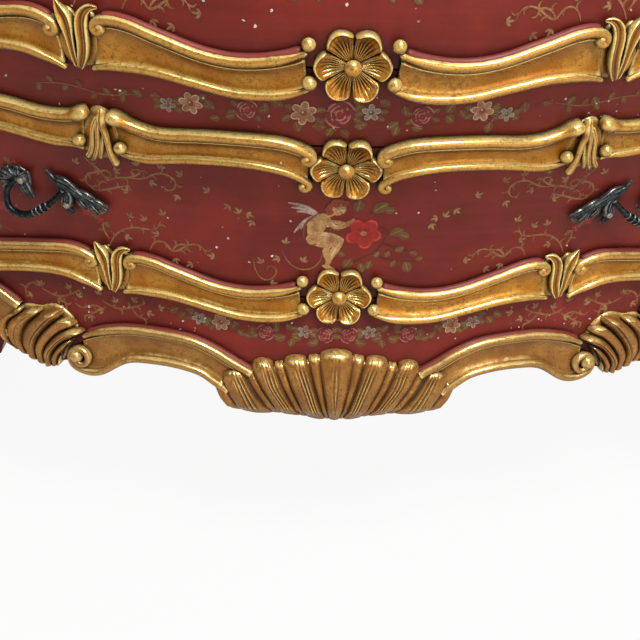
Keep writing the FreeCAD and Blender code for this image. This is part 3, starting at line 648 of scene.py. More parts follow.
class Shader:
    """The nodes of one material."""

    MIXED_COLOUR = 2

    def __init__(self, name: str) -> None:
        """Start a material with an empty tree."""
        self.material = bpy.data.materials.new(name)
        self.material.use_nodes = True
        self.tree = self.material.node_tree
        self.tree.nodes.clear()

    def node(self, kind: str, settings: dict, sockets: dict, output: "int | str" = 0) -> Sock:
        """Add a node and give one of its outputs."""
        return Sock(self, add_node(self.tree, kind, settings, sockets).outputs[output])

    def math(self, operation: str, first: "Sock | float", second: "Sock | float") -> Sock:
        """A Math node on two values."""
        return self.node("ShaderNodeMath", {"operation": operation}, {"Value": first, "Value_001": second})

    def coats(self, base: "Sock | Colour", *coats: tuple) -> Sock:
        """Colours laid over a base, each with the share that it covers."""
        for share, colour in coats:
            base = self.node("ShaderNodeMix", {"data_type": "RGBA"},
                             {"Factor_Float": share, "A_Color": base, "B_Color": colour}, self.MIXED_COLOUR)
        return base

    def places(self, stretch: Colour = EVEN) -> Sock:
        """Object coordinates, stretched."""
        coords = self.node("ShaderNodeTexCoord", {}, {}, "Object")
        return self.node("ShaderNodeMapping", {}, {"Vector": coords, "Scale": stretch})

    def noise(self, scale: float, detail: float = 3.0, stretch: Colour = EVEN) -> Sock:
        """Cloudy values round 0.5, by object coordinates in metres."""
        return self.node("ShaderNodeTexNoise", {},
                         {"Vector": self.places(stretch), "Scale": scale, "Detail": detail,
                          "Roughness": 0.6}, "Fac")

    def flecks(self, scale: float, size: float, share: float) -> Sock:
        """Small irregular chips.

        Args:
            scale: Cells to a metre.
            size: Chip's radius as a share of a cell.
            share: Share of the cells without a chip.

        Returns:
            1 in a chip and 0 elsewhere.
        """
        sockets = {"Vector": self.places(), "Scale": scale}
        cells = add_node(self.tree, "ShaderNodeTexVoronoi", {}, sockets).outputs
        chance = self.node("ShaderNodeSeparateColor", {}, {"Color": cells["Color"]})
        ragged = Sock(self, cells["Distance"]) + (self.noise(900.0, 2.0) - 0.5) * (size * 1.6)
        inside = 1.0 - ragged.over(size, size * 0.15)
        return inside * chance.over(share, 0.02)

    def shelter(self, reach: float) -> Sock:
        """How open a spot is: 1 in the open, towards 0 in corners."""
        return self.node("ShaderNodeAmbientOcclusion", {"samples": 6}, {"Distance": reach}, "AO")

    def edges(self) -> Sock:
        """Above 0.5 on edges and below it in grooves."""
        return self.node("ShaderNodeNewGeometry", {}, {}, "Pointiness")

    def toward(self, way: Colour) -> Sock:
        """How far a surface faces a direction: 1 straight at it, below 0 away from it."""
        normal = self.node("ShaderNodeTexCoord", {}, {}, "Normal")
        return self.node("ShaderNodeVectorMath", {"operation": "DOT_PRODUCT"},
                         {"Vector": normal, "Vector_001": way}, "Value")

    def tinted(self) -> Sock:
        """The colour that a painted piece carries."""
        return self.node("ShaderNodeAttribute", {"attribute_name": "tint"}, {}, "Color")

    def relief(self, height: Sock, distance: float, strength: float) -> Sock:
        """A bumped normal."""
        sockets = {"Height": height, "Distance": distance, "Strength": strength}
        return self.node("ShaderNodeBump", {}, sockets)

    def close(self, sockets: dict) -> Material:
        """Finish with a principled shader."""
        return self.surface(self.node("ShaderNodeBsdfPrincipled", {}, sockets))

    def surface(self, shader: Sock) -> Material:
        """Finish with any shader."""
        add_node(self.tree, "ShaderNodeOutputMaterial", {}, {"Surface": shader})
        return self.material


@dataclass(frozen=True)
class RedPaint:
    """Old red paint under varnish, worn and chipped, with painted shade beside raised parts."""

    name: str = "red_paint"
    warm: Colour = srgb(131, 40, 28)
    plain: Colour = srgb(98, 29, 22)
    brushed: Colour = srgb(142, 55, 38)
    sooty: Colour = srgb(46, 19, 16)
    speck: Colour = srgb(58, 19, 21)
    chip: Colour = srgb(226, 196, 184)
    crumb: Colour = srgb(190, 120, 110)
    roughness: float = 0.42

    def make(self) -> Material:
        """Build the material."""
        s = Shader(self.name)
        clouds = s.noise(9.0, 5.0)
        brushing = s.noise(60.0, 3.0, (0.12, 0.12, 2.4))
        # Painted shade: the paint darkens where ambient occlusion finds raised parts close by.
        corner_shade_mask = 0.75 - s.shelter(0.05).over(0.62, 0.36) * 0.75
        specks = s.noise(420.0, 2.0).over(0.7, 0.03)
        chips = s.flecks(17.0, 0.024, 0.5)
        crumbs = s.flecks(46.0, 0.03, 0.72)
        colour = s.coats(self.plain, (clouds.over(0.5, 0.22), self.warm),
                         ((brushing - 0.38) * 0.55, self.brushed), (corner_shade_mask, self.sooty),
                         (specks * 0.45, self.speck), (chips, self.chip), (crumbs * 0.6, self.crumb))
        gloss = s.noise(30.0, 4.0) * 0.22 + (self.roughness - 0.11)
        height = brushing * 0.5 + clouds * 0.3 - chips
        return s.close({"Base Color": colour, "Roughness": gloss, "Specular IOR Level": 0.22,
                        "Normal": s.relief(height, 0.0012, 0.25)})


@dataclass(frozen=True)
class Gilding:
    """Aged gilding over bole, with umber grime and painted shade in the hollows, a painted highlight on
    faces turned to the light and painted shade on faces turned away, and lost gesso at the edges.
    """

    name: str = "gilding"
    leaf: Colour = srgb(200, 142, 50)
    bright: Colour = srgb(255, 231, 146)
    ochre: Colour = srgb(168, 102, 20)
    brown: Colour = srgb(88, 50, 18)
    umber: Colour = srgb(32, 19, 12)
    bole: Colour = srgb(104, 52, 30)
    gesso: Colour = srgb(236, 224, 204)
    # Direction of the painted light: faces turned this way get a painted highlight, faces turned away
    # painted shade.
    handled: Colour = (0.0, -0.5, 0.866)

    def make(self) -> Material:
        """Build the material."""
        s = Shader(self.name)
        clouds = s.noise(34.0, 5.0)
        grain = s.noise(260.0, 4.0)
        streaks = s.noise(110.0, 4.0)
        ridge = s.edges()
        # Painted light: how far each face turns toward that direction, streaked by noise.
        facing_light = s.toward(self.handled) + (streaks - 0.5) * 0.35
        # Burnished ridges, and a painted highlight on faces turned toward the light.
        rubbed = s.math("MAXIMUM", ridge.over(0.545, 0.03) * 0.75, facing_light.over(0.9, 0.1) * 0.95)
        # Painted shade on faces turned away from the light.
        under = 1.0 - facing_light.over(0.0, 0.36)
        worn = (grain * 0.6 + clouds * 0.4).over(0.57, 0.05)
        specks = s.noise(620.0, 2.0).over(0.64, 0.03)
        # Grime and painted shade in the hollows, where ambient occlusion finds close surroundings.
        grime_and_shade = 1.0 - (s.shelter(0.012) + (grain - 0.5) * 0.35).over(0.46, 0.26)
        # Painted shade in grooves, where pointiness is low.
        groove = 1.0 - ridge.over(0.472, 0.02)
        soil_and_shade = s.math("MAXIMUM", grime_and_shade * 0.95, groove * 0.85)
        lost = s.flecks(38.0, 0.035, 0.8)
        colour = s.coats(self.ochre, (clouds.over(0.52, 0.2), self.leaf), (rubbed, self.bright),
                         (under * 0.7, self.brown), (worn * 0.5, self.bole), (specks * 0.65, self.umber),
                         (soil_and_shade, self.umber), (lost, self.gesso))
        metal = (1.0 - soil_and_shade) * (1.0 - lost) * (facing_light.over(0.5, 0.5) * 0.24 + 0.3)
        rough = grain * 0.22 + soil_and_shade * 0.3 - rubbed * 0.06 + 0.18
        height = grain * 0.5 + clouds
        return s.close({"Base Color": colour, "Metallic": metal, "Roughness": rough,
                        "Specular IOR Level": 0.3, "Normal": s.relief(height, 0.0012, 0.3)})


@dataclass(frozen=True)
class BrushPaint:
    """Thin painted flowers, rubbed through to the red ground."""

    name: str = "painted_flowers"
    ground: Colour = srgb(104, 34, 28)
    glaze: Colour = srgb(78, 44, 26)

    def make(self) -> Material:
        """Build the material."""
        s = Shader(self.name)
        dabs = s.noise(240.0, 3.0)
        rubbed = (s.noise(90.0, 4.0) * 0.55 + s.noise(900.0, 2.0) * 0.45).over(0.51, 0.13)
        colour = s.coats(s.tinted(), (dabs.over(0.5, 0.3) * 0.4, self.glaze), (rubbed * 0.7, self.ground))
        return s.close({"Base Color": colour, "Roughness": 0.42, "Specular IOR Level": 0.22})


@dataclass(frozen=True)
class DarkBronze:
    """Near-black patina on a casting, lighter on its edges where it is rubbed and where a highlight is
    painted.
    """

    name: str = "dark_bronze"
    patina: Colour = srgb(16, 20, 21)
    worn: Colour = srgb(48, 57, 60)
    # Edge colour: rubbed metal and a painted highlight.
    rubbed: Colour = srgb(168, 172, 166)

    def make(self) -> Material:
        """Build the material."""
        s = Shader(self.name)
        grain = s.noise(320.0, 4.0)
        # Lighter on edges, found by pointiness: real rubbing and a painted highlight.
        edge = (s.edges() + (grain - 0.5) * 0.06).over(0.556, 0.025)
        colour = s.coats(self.patina, (grain.over(0.55, 0.2) * 0.6, self.worn), (edge * 0.75, self.rubbed))
        return s.close({"Base Color": colour, "Metallic": edge * 0.2 + 0.7,
                        "Roughness": grain * 0.25 + 0.16, "Normal": s.relief(grain, 0.0008, 0.4)})


@dataclass(frozen=True)
class WornBrass:
    """Pale rubbed brass."""

    name: str = "worn_brass"
    dark: Colour = srgb(116, 104, 92)
    light: Colour = srgb(196, 180, 166)

    def make(self) -> Material:
        """Build the material."""
        s = Shader(self.name)
        grain = s.noise(500.0, 3.0)
        colour = s.coats(self.dark, (grain, self.light))
        return s.close({"Base Color": colour, "Metallic": grain * 0.2 + 0.6,
                        "Roughness": grain * 0.2 + 0.3})


@dataclass(frozen=True)
class BareWood:
    """Unpainted softwood with grain and darkened by age."""

    name: str
    light: Colour
    dark: Colour
    stretch: Colour
    streak: Colour = srgb(70, 46, 28)

    def make(self) -> Material:
        """Build the material."""
        s = Shader(self.name)
        warp = s.noise(6.0, 3.0)
        rings = s.noise(42.0, 4.0, self.stretch)
        fibre = s.noise(300.0, 3.0, self.stretch)
        colour = s.coats(self.light, ((rings + warp * 0.3).over(0.62, 0.2), self.dark),
                         (fibre * 0.3, self.streak))
        return s.close({"Base Color": colour, "Roughness": fibre * 0.2 + 0.6,
                        "Normal": s.relief(fibre, 0.0008, 0.3)})


@dataclass(frozen=True)
class PaleFloor:
    """A pale floor that the camera sees nearly white, with the object's shadow."""

    name: str = "pale_floor"
    base: Colour = srgb(206, 205, 202)
    glow: float = 0.92

    def make(self) -> Material:
        """Build the material."""
        s = Shader(self.name)
        camera, glossy, through = (s.node("ShaderNodeLightPath", {}, {}, f"Is {ray} Ray")
                                   for ray in ("Camera", "Glossy", "Transmission"))
        seen = s.math("MINIMUM", camera + glossy + through, 1.0)
        plain = s.node("ShaderNodeBsdfDiffuse", {}, {"Color": self.base})
        white = s.node("ShaderNodeEmission", {}, {"Color": WHITE, "Strength": 1.0})
        return s.surface(s.node("ShaderNodeMixShader", {},
                                {"Fac": seen * self.glow, "Shader": plain, "Shader_001": white}))


@dataclass
class Workshop:
    """The trees and finishes that every sub-assembly uses."""

    form: CaseForm = field(default_factory=CaseForm)

    def __post_init__(self) -> None:
        """Build the trees, the faces and the finishes."""
        self.sweep, self.scatter = SweepTree().sweep, ScatterTree().scatter
        self.front, self.side = Face(self.form.front), Face(self.form.side)
        self.top, self.post = Face(self.form.top), Face(self.form.post)
        self.red = RedPaint().make()
        # The flank red: red paint made lighter and pinker with a painted sheen on the slope beside the
        # bead.
        self.dusty = RedPaint("dusty_red", warm=srgb(140, 62, 52), plain=srgb(108, 40, 34),
                              brushed=srgb(172, 106, 92), sooty=srgb(70, 32, 28)).make()
        self.gilt = Gilding().make()
        self.dull_gilt = Gilding("dull_gilding", leaf=srgb(178, 126, 60), bright=srgb(246, 214, 136),
                                 ochre=srgb(138, 90, 38), brown=srgb(74, 44, 22)).make()
        self.paint = BrushPaint().make()
        self.bronze = DarkBronze().make()
        self.brass = WornBrass().make()
        along_x, along_y = (0.08, 1.0, 1.0), (1.0, 0.08, 1.0)
        old, fresh = (srgb(150, 112, 74), srgb(98, 66, 40)), (srgb(186, 146, 100), srgb(132, 92, 56))
        self.case_wood = BareWood("case_wood", *old, along_x).make()
        self.drawer_wood = BareWood("drawer_wood", *fresh, along_y).make()
        self.drawer_back_wood = BareWood("drawer_back_wood", *fresh, along_x).make()


@dataclass
class Piece:
    """One finished mesh that rides on a body."""

    name: str
    body: Body
    slot: Slot
    material: Material
    nodes: tuple[str, ...] = ()
    smooth: bool = True
    parts: list = field(default_factory=list)

    @classmethod
    def carving(cls, node: str, body: Body, material: Material) -> "Piece":
        """A gilt carving in place of a node."""
        return cls(node + "_carved", body, Slot.GILT, material, (node,))

    def add(self, parts: Sequence[Mesh], sides: Sides = Sides.RIGHT) -> "Piece":
        """Take in parts.

        Args:
            parts: Meshes made for the right half; they are used up.
            sides: The halves that they go to.

        Returns:
            The piece itself.
        """
        for part in parts:
            for mirrored in sides.value:
                copy = part.copy()
                if mirrored:
                    copy.transform(Matrix.Scale(-1.0, 4, Vector((1.0, 0.0, 0.0))))
                    copy.flip_normals()
                self.parts.append(copy)
            bpy.data.meshes.remove(part)
        return self

    def finish(self) -> None:
        """Join the parts, face them outwards, set the piece on its body and hide the nodes that it stands
        for.
        """
        joined = bmesh.new()
        for part in self.parts:
            joined.from_mesh(part)
            bpy.data.meshes.remove(part)
        bmesh.ops.remove_doubles(joined, verts=joined.verts[:], dist=WELD)
        bmesh.ops.dissolve_degenerate(joined, edges=joined.edges[:], dist=WELD)
        bmesh.ops.recalc_face_normals(joined, faces=joined.faces[:])
        mesh = bpy.data.meshes.new(self.name)
        joined.to_mesh(mesh)
        joined.free()
        mesh.materials.clear()
        mesh.materials.append(self.material)
        mesh.polygons.foreach_set("material_index", np.zeros(len(mesh.polygons), np.int32))
        mesh.polygons.foreach_set("use_smooth", np.full(len(mesh.polygons), self.smooth))
        made = placed(self.name, mesh)
        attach(made, self.body.value)
        if self.nodes:
            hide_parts(*self.nodes)
        LOG.info("%s: %d faces on %s", self.name, len(mesh.polygons), self.body.value)


def ring(count: int) -> list[Place]:
    """A round section of radius 1."""
    return [stepped((0.0, 0.0), 360.0 * i / count, 1.0) for i in range(count)]


ROUND = ring(14)
BEAD = [
    (-1, -1.62), (-1, 0), (-0.92, 0.38), (-0.71, 0.71), (-0.38, 0.92), (0, 1), (0.38, 0.92), (0.71, 0.71),
    (0.92, 0.38), (1, 0), (1, -1.62),
]
BLADE = [
    (-1, -0.7), (-1, 0.05), (-0.86, 0.46), (-0.55, 0.78), (-0.2, 0.92), (0.06, 0.84), (0.22, 0.5),
    (0.36, 0.66), (0.62, 0.62), (0.88, 0.36), (1, 0), (1, -0.7),
]
FLUTED = [
    (-1, -0.7), (-1, 0.05), (-0.86, 0.36), (-0.64, 0.55), (-0.5, 0.36), (-0.36, 0.7), (-0.14, 0.84),
    (0, 0.58), (0.14, 0.84), (0.36, 0.7), (0.5, 0.36), (0.64, 0.55), (0.86, 0.36), (1, 0.05), (1, -0.7),
]
HOLLOW = [
    (-1, -0.7), (-1, 0.2), (-0.88, 0.56), (-0.7, 0.58), (-0.5, 0.24), (-0.26, 0.02), (-0.12, 0.16),
    (0.02, 0), (0.3, 0.1), (0.56, 0.44), (0.8, 0.54), (1, 0.16), (1, -0.7),
]
BRUSH = [(-0.5, 0.0), (-0.36, 0.011), (0.0, 0.014), (0.36, 0.011), (0.5, 0.0), (0.0, -0.008)]


def ball_shape(rings: int = 9, around: int = 16) -> Mesh:
    """A unit ball."""
    made = bmesh.new()
    bmesh.ops.create_uvsphere(made, u_segments=around, v_segments=rings, radius=1.0)
    mesh = bpy.data.meshes.new("ball")
    made.to_mesh(mesh)
    made.free()
    return mesh


RADIUS, RISE = 2, 3


@dataclass
class BeadLine:
    """The line of a bead while its ends are shaped: rows of two measures, a radius and a rise."""

    rows: Array

    @classmethod
    def along(cls, places: Array, radius: Array | float, rise: Array | float) -> "BeadLine":
        """A bead with its radius and rise."""
        return cls(np.column_stack([places, np.full(len(places), radius), np.full(len(places), rise)]))

    def to_end(self) -> Array:
        """Distance of each place from the end."""
        gaps = np.linalg.norm(np.diff(self.rows[:, :2], axis=0), axis=1)
        return np.concatenate([np.cumsum(gaps[::-1])[::-1], [0.0]])

    def trimmed(self, length: float) -> None:
        """Cut a length off the end."""
        self.rows = self.rows[self.to_end() >= length]

    def turned(self) -> None:
        """Swap the two ends."""
        self.rows = self.rows[::-1]

    def extend(self, places: Array, radius: Array, rise: Array | float) -> None:
        """Carry the line on."""
        self.rows = np.concatenate([self.rows, self.along(places, radius, rise).rows])

    def heading(self) -> Array:
        """The way that the end points."""
        return unit(self.rows[-1, :2] - self.rows[-2, :2])

    def rounded(self) -> None:
        """Close the end with a half ball."""
        turns = np.radians([25.0, 48.0, 68.0, 82.0, 89.0])
        *last, size, rise = self.rows[-1]
        self.extend(last + self.heading() * (size * np.sin(turns))[:, None], size * np.cos(turns), rise)

    def route(self, face: Face, least: float = 0.0) -> Route:
        """The line on a face, with a least radius."""
        return Route(face, self.rows[:, :2], self.rows[:, RISE], np.maximum(self.rows[:, RADIUS], least))

    def wound(self, toward: Array, radius: float, turn: float, lift: float) -> None:
        """Wind the end into a volute.

        Args:
            toward: The way that it winds, across the line.
            radius: Radius of the outer turn.
            turn: Angle that it winds through.
            lift: How far the eye stands out.
        """
        *last, size, rise = self.rows[-1]
        heading = self.heading()
        side = unit(toward - heading * toward.dot(heading))
        angles = np.linspace(0.0, turn, 30)[1:]
        share = angles / turn
        round_eye = -side * np.cos(angles)[:, None] + heading * np.sin(angles)[:, None]
        wound = last + side * radius + round_eye * (radius * (1 - 0.6 * share))[:, None]
        self.extend(wound, size * (1 - 0.25 * share), rise + lift * share)


FILLET = [(2.0, 6.0), (4.2, 5.4), (4.7, 4.4), (5.2, 7.8), (6.2, 7.8), (6.7, 6.7)]
COVE_FOOT = [(-2.0, 5.6), (-1.0, 4.6)]


@dataclass
class Moulding:
    """A carved moulding: two beads with a fillet and a cove between them, along the lines of the beads."""

    face: Face
    upper: Sequence
    lower: Sequence
    level: float
    upper_ends: tuple[Ending, Ending]
    lower_ends: tuple[Ending, Ending]
    balls: Sequence = ()
    upper_radius: float = 4.2
    upper_rise: float = 7.6
    lower_radius: float = 4.0
    lower_rise: float = 6.6
    head_swell: float = 0.42
    head_lift: float = 1.5
    head_length: float = 7.0
    taper_length: float = 26.0
    ball_rise: float = 8.0
    flank_off: float = 2.7
    flank_radius: float = 3.9
    flank_rise: float = 4.2
    flank_trim: float = 3.0

    def line(self, points: Sequence) -> Array:
        """Sample the line of a bead."""
        return flow(raised(points, self.level), 3.0)

    def bead(self, points: Sequence, other: Sequence, size: Place,
             ends: tuple[Ending, Ending]) -> Route:
        """One bead with its ends.

        Args:
            points: Its line.
            other: The line of the other bead.
            size: Radius and rise.
            ends: Its ends at the start and at the end.

        Returns:
            The line of the bead.
        """
        places, across = self.line(points), self.line(other)
        made = BeadLine.along(places, *size)
        for place in (0, -1):
            made.turned()
            self.ended(made, ends[place], unit(across[place] - places[place]))
        return made.route(self.face)

    def ended(self, line: BeadLine, ending: Ending, cove: Array) -> None:
        """Shape the end of a bead.

        Args:
            line: The bead, with the end to shape at its end.
            ending: The form of the end.
            cove: The way from the bead to the cove.
        """
        if isinstance(ending.value, tuple):
            side, radius, turn, lift = ending.value
            line.wound(side * cove, radius, math.radians(turn), lift)
        elif ending is Ending.HEAD:
            line.rows[:, RADIUS] *= 1 + self.head_swell * bump(line.to_end(), 3.0, self.head_length)
            line.rows[:, RISE] += self.head_lift * bump(line.to_end(), 2.0, self.head_length)
        elif ending is Ending.TAPER:
            line.rows[:, RADIUS] *= 0.55 + 0.45 * ease(line.to_end() / self.taper_length)
        if ending is not Ending.SQUARE:
            line.rounded()

    def band(self) -> Mesh:
        """The fillet and the cove between the beads, with the ground under them."""
        first, last = self.line(self.upper), self.line(self.lower)
        count = max(len(first), len(last))
        first, last = spread(first, count), spread(last, count)
        apart = np.linalg.norm(last - first, axis=1)[:, None]
        hollow = np.linspace(0.0, 1.0, 9)
        near, near_rises = np.array(FILLET).T
        far, far_rises = np.array(COVE_FOOT).T
        offs = np.concatenate([near + 0 * apart, 7.2 + (apart - 10.6) * hollow, apart + far], axis=1)
        rises = np.concatenate([near_rises, 6.5 - 3.3 * np.sin(np.pi * hollow) ** 0.75, far_rises])
        places = first[:, None] + unit(last - first)[:, None] * offs[..., None]
        return carved(self.face, places, np.repeat(rises[None], count, axis=0))

    def build(self, shop: Workshop) -> list[Mesh]:
        """Make the band, the beads and the balls.

        Args:
            shop: Trees and finishes.

        Returns:
            Meshes for the right half.
        """
        beads = [self.bead(self.upper, self.lower, (self.upper_radius, self.upper_rise), self.upper_ends),
                 self.bead(self.lower, self.upper, (self.lower_radius, self.lower_rise), self.lower_ends)]
        parts = [self.band(), shop.sweep(beads, BEAD, shop.gilt)]
        if self.balls:
            spots = Spots()
            for a, z, size in self.balls:
                spots.put(self.face, (a, self.level + z), self.ball_rise, 0.0, (size, size, size))
            parts.append(shop.scatter(spots, ball_shape(), shop.gilt))
        return parts

    def flank(self, shop: Workshop) -> Mesh:
        """The painted slope beside the upper bead."""
        places, other = self.line(self.upper), self.line(self.lower)
        away = unit(places - other[np.linspace(0, len(other) - 1, len(places)).astype(int)])
        made = BeadLine.along(places + away * self.flank_off, self.flank_radius, self.flank_rise)
        for _ in (0, 1):
            made.turned()
            made.trimmed(self.flank_trim)
            made.rounded()
        return shop.sweep([made.route(self.face)], ROUND, shop.dusty)


@dataclass
class Strands:
    """Carved ribs that are laid side by side on a face."""

    face: Face
    ribs: Sequence
    rise: float
    section: Sequence
    crown: float

    def build(self, shop: Workshop, material: Material) -> Mesh:
        """Sweep the ribs.

        Args:
            shop: Trees and finishes.
            material: Finish of the ribs.

        Returns:
            One mesh for the right half.
        """
        routes = []
        for rib in self.ribs:
            line = flow(rib, 2.0)
            share = np.linspace(0.0, 1.0, len(line))
            rises = self.rise + self.crown * np.sin(np.pi * share * 0.8)
            body = BeadLine.along(line[:, :2], line[:, 2], rises)
            for _ in (0, 1):
                body.rounded()
                body.turned()
            routes.append(body.route(self.face, 0.02))
        return shop.sweep(routes, self.section, material)


@dataclass
class Rosette:
    """A gilt flower of six cupped and grooved petals round a button."""

    z: float
    body: Body
    node: str
    radius: float = 31.5
    petals: int = 6
    rim: float = 8.5
    cup: float = 3.6
    button: float = 7.2
    grooves: int = 7
    thickness: Sequence = (1.0, 1.16, 0.94, 1.08, 0.9, 1.12)

    def petal(self) -> Mesh:
        """One petal, along +X, in units of millimetres."""
        half = math.pi / self.petals * 0.94
        share, across = np.meshgrid(np.linspace(0.1, 1.0, 34), np.linspace(-1.0, 1.0, 57), indexing="ij")
        reach = self.radius * (1 - 0.2 * np.abs(across) ** 1.7)
        height = 3.0 + (self.rim - 3.0) * share ** 1.4
        height -= self.cup * bump(share, 0.6, 0.25) * (1 - across ** 2)
        height -= 1.7 * bump(share, 0.55, 0.24) * np.cos(np.pi * self.grooves * across / 2) ** 6
        height += 0.9 * bump(share, 0.95, 0.035) - 1.6 * ease((share - 0.97) / 0.03)
        height = height * (1 - 0.5 * np.abs(across) ** 8) + 0.5
        turn = across * half * (0.93 + 0.07 * share)
        points = np.stack([reach * share * np.cos(turn), reach * share * np.sin(turn), height], axis=-1)
        floor = points * np.array([1.0, 1.0, 0.0])
        return grid_mesh(points / MM, floor / MM)

    def build(self, shop: Workshop) -> None:
        """Make the flower and set it on its drawer."""
        middle = (0.0, 0.0)
        spot = shop.front.flat_spot(0.0, self.z, SEAT)
        leaves, buttons = Spots(), Spots()
        for i, thickness in enumerate(self.thickness):
            leaves.put(spot, middle, 0.0, 360.0 * i / self.petals, (1.0, 1.0, thickness))
        buttons.put(spot, middle, 8.6, 0.0, (self.button, self.button, self.button * 0.9))
        heart = [stepped(middle, turn, self.radius * 0.5) for turn in range(0, 360, 15)]
        Piece.carving(self.node, self.body, shop.gilt).add([
            shop.scatter(leaves, self.petal(), shop.gilt),
            shop.scatter(buttons, ball_shape(12, 24), shop.gilt), pad(spot, heart, 2.2)]).finish()


TOP_INNER = (
    [(31, -3.4), (37, 0), (45, 3.3), (56, 6.2), (72, 7.8), (100, 8.4), (130, 7.8), (152, 6.5), (166, 7.4),
     (178, 10.5), (190, 15.2), (199, 19)],
    [(33, -32), (40, -27.4), (49, -23.5), (66, -19.2), (84, -16.8), (105, -16), (128, -16.4),
     (154, -18.8), (172, -20.8), (182, -20.3), (191, -18.8), (197, -16.5)],
)
TOP_OUTER = (
    [(225, 20.8), (234, 17.8), (248, 16.2), (266, 17), (284, 20.6), (301, 23.6), (340, 24.4), (380, 22.5),
     (410, 18.2), (443, 11.5)],
    [(231, -14.5), (238, -12.9), (253, -12), (271.5, -9.3), (289.5, -5.4), (308, -2.2), (340, -0.5),
     (380, -2.5), (410, -6.8), (443, -13)],
)
LOW_INNER = (
    [(38, 13.3), (47, 9.9), (57, 7.3), (67, 5.4), (80, 4), (95, 4), (110, 5.9), (125, 9.5), (143, 15.6),
     (162, 22.2), (175, 26.8), (184, 28.8), (193, 29.4), (201, 27.6)],
    [(36, -17), (45, -20.5), (57, -22.8), (72, -23.9), (87, -23.7), (103, -21.7), (120, -17.8),
     (140, -13.3), (158, -9.6), (175, -8), (190, -8), (208, -10.5)],
)
LOW_OUTER = (
    [(238, 24), (247, 28.8), (257, 31.5), (272, 31.5), (293, 29.2), (314, 26.7), (336, 24), (360, 22),
     (400, 21.5), (443, 26.5)],
    [(234, -11.5), (241, -8), (251, -3.9), (261, -0.3), (277, 2.3), (298, 2.1), (319, 0.2), (341, -2.6),
     (370, -5), (405, -4.5), (443, 1)],
)
TOP_CLASP = [
    [(207.6, 24, 3.6), (207.6, 19.5, 5.2), (208.3, 12, 3.8), (206.4, 4, 2.8), (205.2, -5, 2.6),
     (204.2, -13, 2.9), (202.4, -21, 3.4), (201, -25, 3.6)],
    [(210.5, 17, 3.2), (212.8, 8, 2.5), (214.2, -6, 2.2), (217, -16, 2.4), (219.4, -21, 2.4)],
    [(213.5, 16, 2.8), (217, 8, 2.4), (219.2, -6, 2.4), (222.4, -16, 2.8), (225, -20, 2.8)],
    [(209.6, 2, 1.6), (210.8, -8, 2), (213.8, -20, 2.3)],
]
TOP_CLASP_BACK = [
    (198, 13), (207, 23), (215, 25), (226, 14), (231, -4), (232, -20), (222, -25), (206, -26), (198, -20),
    (196, -4),
]
LOW_CLASP = [
    [(233.4, 42, 1.2), (230.6, 36.5, 4), (226.8, 30.5, 6), (224.2, 20, 4.6), (223.4, 10, 3.2),
     (222.6, 0, 2.7), (221.6, -7, 2.3)],
    [(200.2, 38.6, 1.2), (205.4, 38.2, 3), (210.4, 34, 4.8), (212.8, 24, 5.6), (213, 11, 5.2),
     (215, 0, 4.6), (217.8, -7.5, 3.2)],
]
LOW_CLASP_BACK = [
    (202, 24), (209, 34), (217, 28), (226, 36), (237, 26), (237, 4), (232, -8), (219, -12), (207, -9),
    (203, 6),
]


PULL_LEAF = [
    [(-8, 25, 1.4), (-15, 17, 3.2), (-25, 14, 4.6), (-36, 7, 4), (-47, 1, 3.2), (-62, -8, 2.4)],
    [(-16, 20, 1.4), (-24, 19, 2.6), (-33, 13, 2.6), (-41, 6, 1.8)],
    [(-22, 8, 3), (-26, 1, 5), (-24, -9, 5), (-30, -17, 1.4)], [(-38, 8, 2), (-45, 7, 2.8), (-52, 3, 2)],
    [(-42, -1, 2.2), (-49, -6, 3), (-55, -13, 1.8)], [(-49, 1, 2), (-56, 0, 2.8), (-64, -4, 1.6)],
    [(-34, 3, 2), (-39, -4, 2.8), (-44, -9, 1.6)],
]
PULL_SHELL = [
    [(24, 12, 3), (30, 18, 3.6), (31.5, 22, 2.2)], [(22, 12, 3), (22.5, 20, 3.4), (22, 23.5, 2.2)],
    [(20, 12, 2.8), (14, 18, 3), (11.5, 19.5, 2.2)], [(26, 11, 3), (36, 15.5, 3.4), (39.5, 17, 2.2)],
    [(27, 9, 3), (38.5, 8, 3.4), (43, 8, 2.2)], [(28, 6, 2.8), (37.5, 0, 3), (41, -2.5, 2)],
    [(18, 9, 3.2), (14, 2, 3.6), (10, -8, 1.4)], [(22, 8, 2.4), (19, 0, 2.4), (16, -6, 1.2)],
]
PULL_BAIL = [
    (22, 13, 6, 2.4), (29, 6, 13, 2.9), (31, -4, 17, 3.3), (28, -12, 20, 3.6), (20, -16, 21.5, 3.7),
    (10, -16, 21, 3.6), (1, -12, 19, 3.4), (-8, -6.5, 15.5, 3.1), (-16, 0, 11, 2.7), (-23, 8, 6, 2.2),
]


